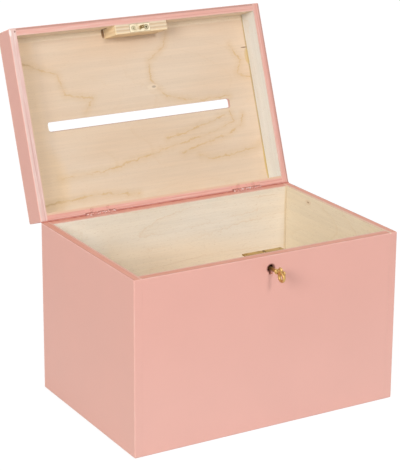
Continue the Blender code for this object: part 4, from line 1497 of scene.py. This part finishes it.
@dataclass
class Keeper:
    """The plywood block inside the lid's front edge, and the plate with its eye that the bolt holds.

    The rings of painted shade lie round the screws' heads, and the painted shade in their recesses is
    on the heads' own finish. The block's lighter patches are painted light.
    """

    hinge: HingeLine
    block_seed: float = 3.0
    # Painted light: the block's back face, which lies in shade, and its end are made lighter and
    # yellower.
    block_painted_light: tuple[Spot, ...] = (
        Spot((0, -82, 190), (400, 1.6, 400), (0.950, 0.740, 0.470), 0.7),
        Spot((-30, -87, 190), (1.5, 400, 400), (0.930, 0.740, 0.450), 0.6),
    )
    # Painted shade where the plate's eye stands out.
    tongue_shade: Spot = Spot((0, -86.8, 175.5), (2.2, 4.5, 5.6), (0.330, 0.230, 0.090), 0.9)
    # Painted shade round the screws' heads.
    rings: tuple[Spot, ...] = (
        Spot((-8.25, -87, 180.3), (2.7, 2.7, 0.2), BRASS_SHADE, 0.35),
        Spot((7.25, -87, 180.3), (3.0, 3.0, 0.2), BRASS_SHADE, 0.75),
    )
    # Painted shade in the screws' recesses.
    sockets: tuple[Spot, ...] = (
        Spot((-8.25, -87, 180), (0.7, 0.7, 2.5), BRASS_SHADE, 0.5),
        Spot((7.25, -87, 180), (1.2, 1.2, 2.5), BRASS_SHADE),
    )

    def build(self) -> None:
        """Dresses the block, the plate and its screws."""
        recipe = Recipe("lock_block_finish", self.hinge)
        edges = PlyEdges().coat(recipe, Grain.ACROSS_THE_BOX, Grain.FRONT_TO_BACK, self.block_seed)
        dress("lock_block", recipe.finish(marked(recipe, edges, self.block_painted_light)))
        dress("keeper_plate", DULL_BRASS.material(self.hinge, (self.tongue_shade, *self.rings)))
        for node in ("keeper_screw_1", "keeper_screw_2"):
            dress(node, DULL_SCREWS.material(self.hinge, self.sockets))


@dataclass
class Lock:
    """The box lock inside the front wall: plate, cap, bolt, spring and screws, with painted shade in
    the bolt's slot and behind the keyhole.
    """

    # Painted shade: the bolt's slot in the cap is made near black.
    slot: Spot = Spot((0, -87, 174), (1.7, 2.9, 8.5), (0.030, 0.015, 0.006), 0.97)
    # Painted shade: the plate and cap behind the keyhole are made dark red-brown.
    keyhole: Spot = Spot((0, -91, 166), (8, 5, 9), (0.060, 0.012, 0.005), 0.97)

    def build(self) -> None:
        """Dresses the lock."""
        brass = SHEET_BRASS.material(None, (self.slot, self.keyhole))
        zinc = ZINC_PLATE.material()
        screws = tuple(f"lock_screw_{number}" for number in (1, 2, 3, 4))
        for node in ("lock_plate", "lock_cap", "cap_rivet_1", "cap_rivet_2", "lock_bolt", *screws):
            dress(node, brass)
        for node in ("bolt_spring", "key_pin"):
            dress(node, zinc)


@dataclass(frozen=True)
class BowRing:
    """One ring of the key's bow: its middle, its radius and how thick its wire is."""

    out: float
    up: float
    radius: float
    wire: float


@dataclass
class Key:
    """The hollow key: a turned shank with a moulded collar, a bit with one ward and a cast bow.

    Lengths out are from the box's front face and lengths up from the keyhole's middle. A bead of the
    collar is given by how far it is from the collar's start and by how far it swells.
    """

    tip: float = -14.9 * MM
    tip_step: float = 0.15 * MM
    tip_length: float = 0.2 * MM
    bore_end: float = -4.2 * MM
    bore_radius: float = 1.1 * MM
    shank_radius: float = 1.7 * MM
    collar_start: float = 9.9 * MM
    collar_beads: tuple[Pair, ...] = ((0.9 * MM, 1.0 * MM), (2.3 * MM, 0.7 * MM))
    bead_half: float = 0.65 * MM
    bead_seat: float = 0.1 * MM
    bead_steps: int = 6
    neck_start: float = 3.2 * MM
    neck_end: float = 4 * MM
    neck_step: float = 0.2 * MM
    stem_radius: float = 1.25 * MM
    stem_end: float = 18.4 * MM
    bit_start: float = -14.8 * MM
    bit_end: float = -11.1 * MM
    bit_reach: float = 5.4 * MM
    bit_half: float = 0.75 * MM
    bit_sunk: float = 0.8
    bit_round: float = 0.15 * MM
    ward_half: float = 0.45 * MM
    ward_depth: float = 1.6 * MM
    sides: int = 40
    ring_steps: int = 36
    wire_sides: int = 14
    wire_mean: float = 0.92
    wire_swell: float = 0.12
    bow_middle: float = 19.0 * MM
    boss_size: Place = (1.15 * MM, 1.9 * MM, 1.6 * MM)
    boss_sides: tuple[int, int] = (20, 12)
    boss_out: float = 18.6 * MM
    boss_up: float = 0.5 * MM
    rings: tuple[BowRing, ...] = (
        BowRing(16.8 * MM, 3.1 * MM, 1.8 * MM, 1.40 * MM),
        BowRing(19.2 * MM, -3.3 * MM, 4.1 * MM, 1.75 * MM),
        BowRing(23.3 * MM, 1.9 * MM, 1.3 * MM, 1.00 * MM),
    )

    def build(self) -> None:
        """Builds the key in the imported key's place."""
        bm = bmesh.new()
        self.turned(bm)
        for ring in self.rings:
            self.ring(bm, ring)
        self.boss(bm)
        self.bit(bm)
        key = placed("turned_key", bm, "key", CAST_BRASS.material())
        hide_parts("key")

    def at(self, side: float, out: float, up: float) -> Vector:
        """A place in the frame from its distances from the keyhole."""
        return Vector((side, -HALF_DEPTH - out, KEY_HEIGHT + up))

    def profile(self) -> list[Pair]:
        """The shank's and the collar's outline, from the bore to the bow.

        Returns:
            Its points, each as distance out and radius.
        """
        shank, stem = self.shank_radius, self.stem_radius
        start = self.collar_start
        points = [
            (self.bore_end, 0.0),
            (self.bore_end, self.bore_radius),
            (self.tip, self.bore_radius),
            (self.tip, shank - self.tip_step),
            (self.tip + self.tip_length, shank),
            (start, shank),
        ]
        for middle, swell in self.collar_beads:
            for step in range(self.bead_steps + 1):
                turn = math.pi * step / self.bead_steps
                out = start + middle - self.bead_half * math.cos(turn)
                points.append((out, shank + self.bead_seat + swell * math.sin(turn)))
        return points + [
            (start + self.neck_start, stem + self.neck_step),
            (start + self.neck_end, stem),
            (self.stem_end, stem),
            (self.stem_end, 0.0),
        ]

    def turned(self, bm: bmesh.types.BMesh) -> None:
        """Turns the outline round the key's axis.

        Args:
            bm: The mesh that it is added to.
        """
        turns = [2 * math.pi * step / self.sides for step in range(self.sides)]
        loops = []
        for out, radius in self.profile():
            if radius == 0.0:
                loops.append([bm.verts.new(self.at(0, out, 0))] * self.sides)
                continue
            places = [self.at(radius * math.cos(turn), out, radius * math.sin(turn)) for turn in turns]
            loops.append([bm.verts.new(place) for place in places])
        for first, second in zip(loops, loops[1:]):
            for step in range(self.sides):
                after = (step + 1) % self.sides
                corners = (first[step], first[after], second[after], second[step])
                bm.faces.new(list(dict.fromkeys(corners)))

    def ring(self, bm: bmesh.types.BMesh, ring: BowRing) -> None:
        """A cast ring, a little thicker towards the bow's middle than on its far side.

        Args:
            bm: The mesh that it is added to.
            ring: The ring.
        """
        heart = Vector((self.bow_middle - ring.out, -ring.up))
        toward = math.atan2(heart.y, heart.x)
        loops = []
        for step in range(self.ring_steps):
            turn = 2 * math.pi * step / self.ring_steps
            wire = ring.wire * (self.wire_mean + self.wire_swell * math.cos(turn - toward))
            loop = []
            for side in range(self.wire_sides):
                lean = 2 * math.pi * side / self.wire_sides
                reach = ring.radius + wire * math.cos(lean)
                place = self.at(
                    wire * math.sin(lean),
                    ring.out + reach * math.cos(turn),
                    ring.up + reach * math.sin(turn),
                )
                loop.append(bm.verts.new(place))
            loops.append(loop)
        for step, first in enumerate(loops):
            second = loops[(step + 1) % self.ring_steps]
            for side in range(self.wire_sides):
                after = (side + 1) % self.wire_sides
                bm.faces.new((first[side], first[after], second[after], second[side]))

    def boss(self, bm: bmesh.types.BMesh) -> None:
        """The flattened button where the bow's rings meet the stem.

        Args:
            bm: The mesh that it is added to.
        """
        around, along = self.boss_sides
        place = Matrix.Translation(self.at(0, self.boss_out, self.boss_up))
        shape = place @ Matrix.Diagonal((*self.boss_size, 1.0))
        bmesh.ops.create_uvsphere(bm, u_segments=around, v_segments=along, radius=1.0, matrix=shape)

    def bit(self, bm: bmesh.types.BMesh) -> None:
        """The bit below the shank's tip, notched by its ward, with its edges broken.

        Args:
            bm: The mesh that it is added to.
        """
        middle = (self.bit_start + self.bit_end) / 2
        low, root = -self.bit_reach, -self.bit_sunk * self.shank_radius
        notch = low + self.ward_depth
        outline = (
            (self.bit_start, root),
            (self.bit_start, low),
            (middle - self.ward_half, low),
            (middle - self.ward_half, notch),
            (middle + self.ward_half, notch),
            (middle + self.ward_half, low),
            (self.bit_end, low),
            (self.bit_end, root),
        )
        near, far = (
            [bm.verts.new(self.at(side, out, up)) for out, up in outline]
            for side in (-self.bit_half, self.bit_half)
        )
        cheeks = [bm.faces.new(near), bm.faces.new(far[::-1])]
        for step in range(len(outline)):
            after = (step + 1) % len(outline)
            bm.faces.new((near[step], near[after], far[after], far[step]))
        edges = [edge for cheek in cheeks for edge in cheek.edges]
        bmesh.ops.bevel(bm, geom=edges, offset=self.bit_round, segments=2, affect="EDGES")


def main() -> None:
    """Builds the studio and dresses the box, piece by piece."""
    logging.basicConfig(level=logging.INFO, format="%(name)s: %(message)s")
    hinge = HingeLine.read()
    Studio().build()
    Carcass().build()
    Lid(hinge).build()
    Hinges(hinge).build()
    Keeper(hinge).build()
    Lock().build()
    Key().build()


if __name__ == "__main__":
    main()
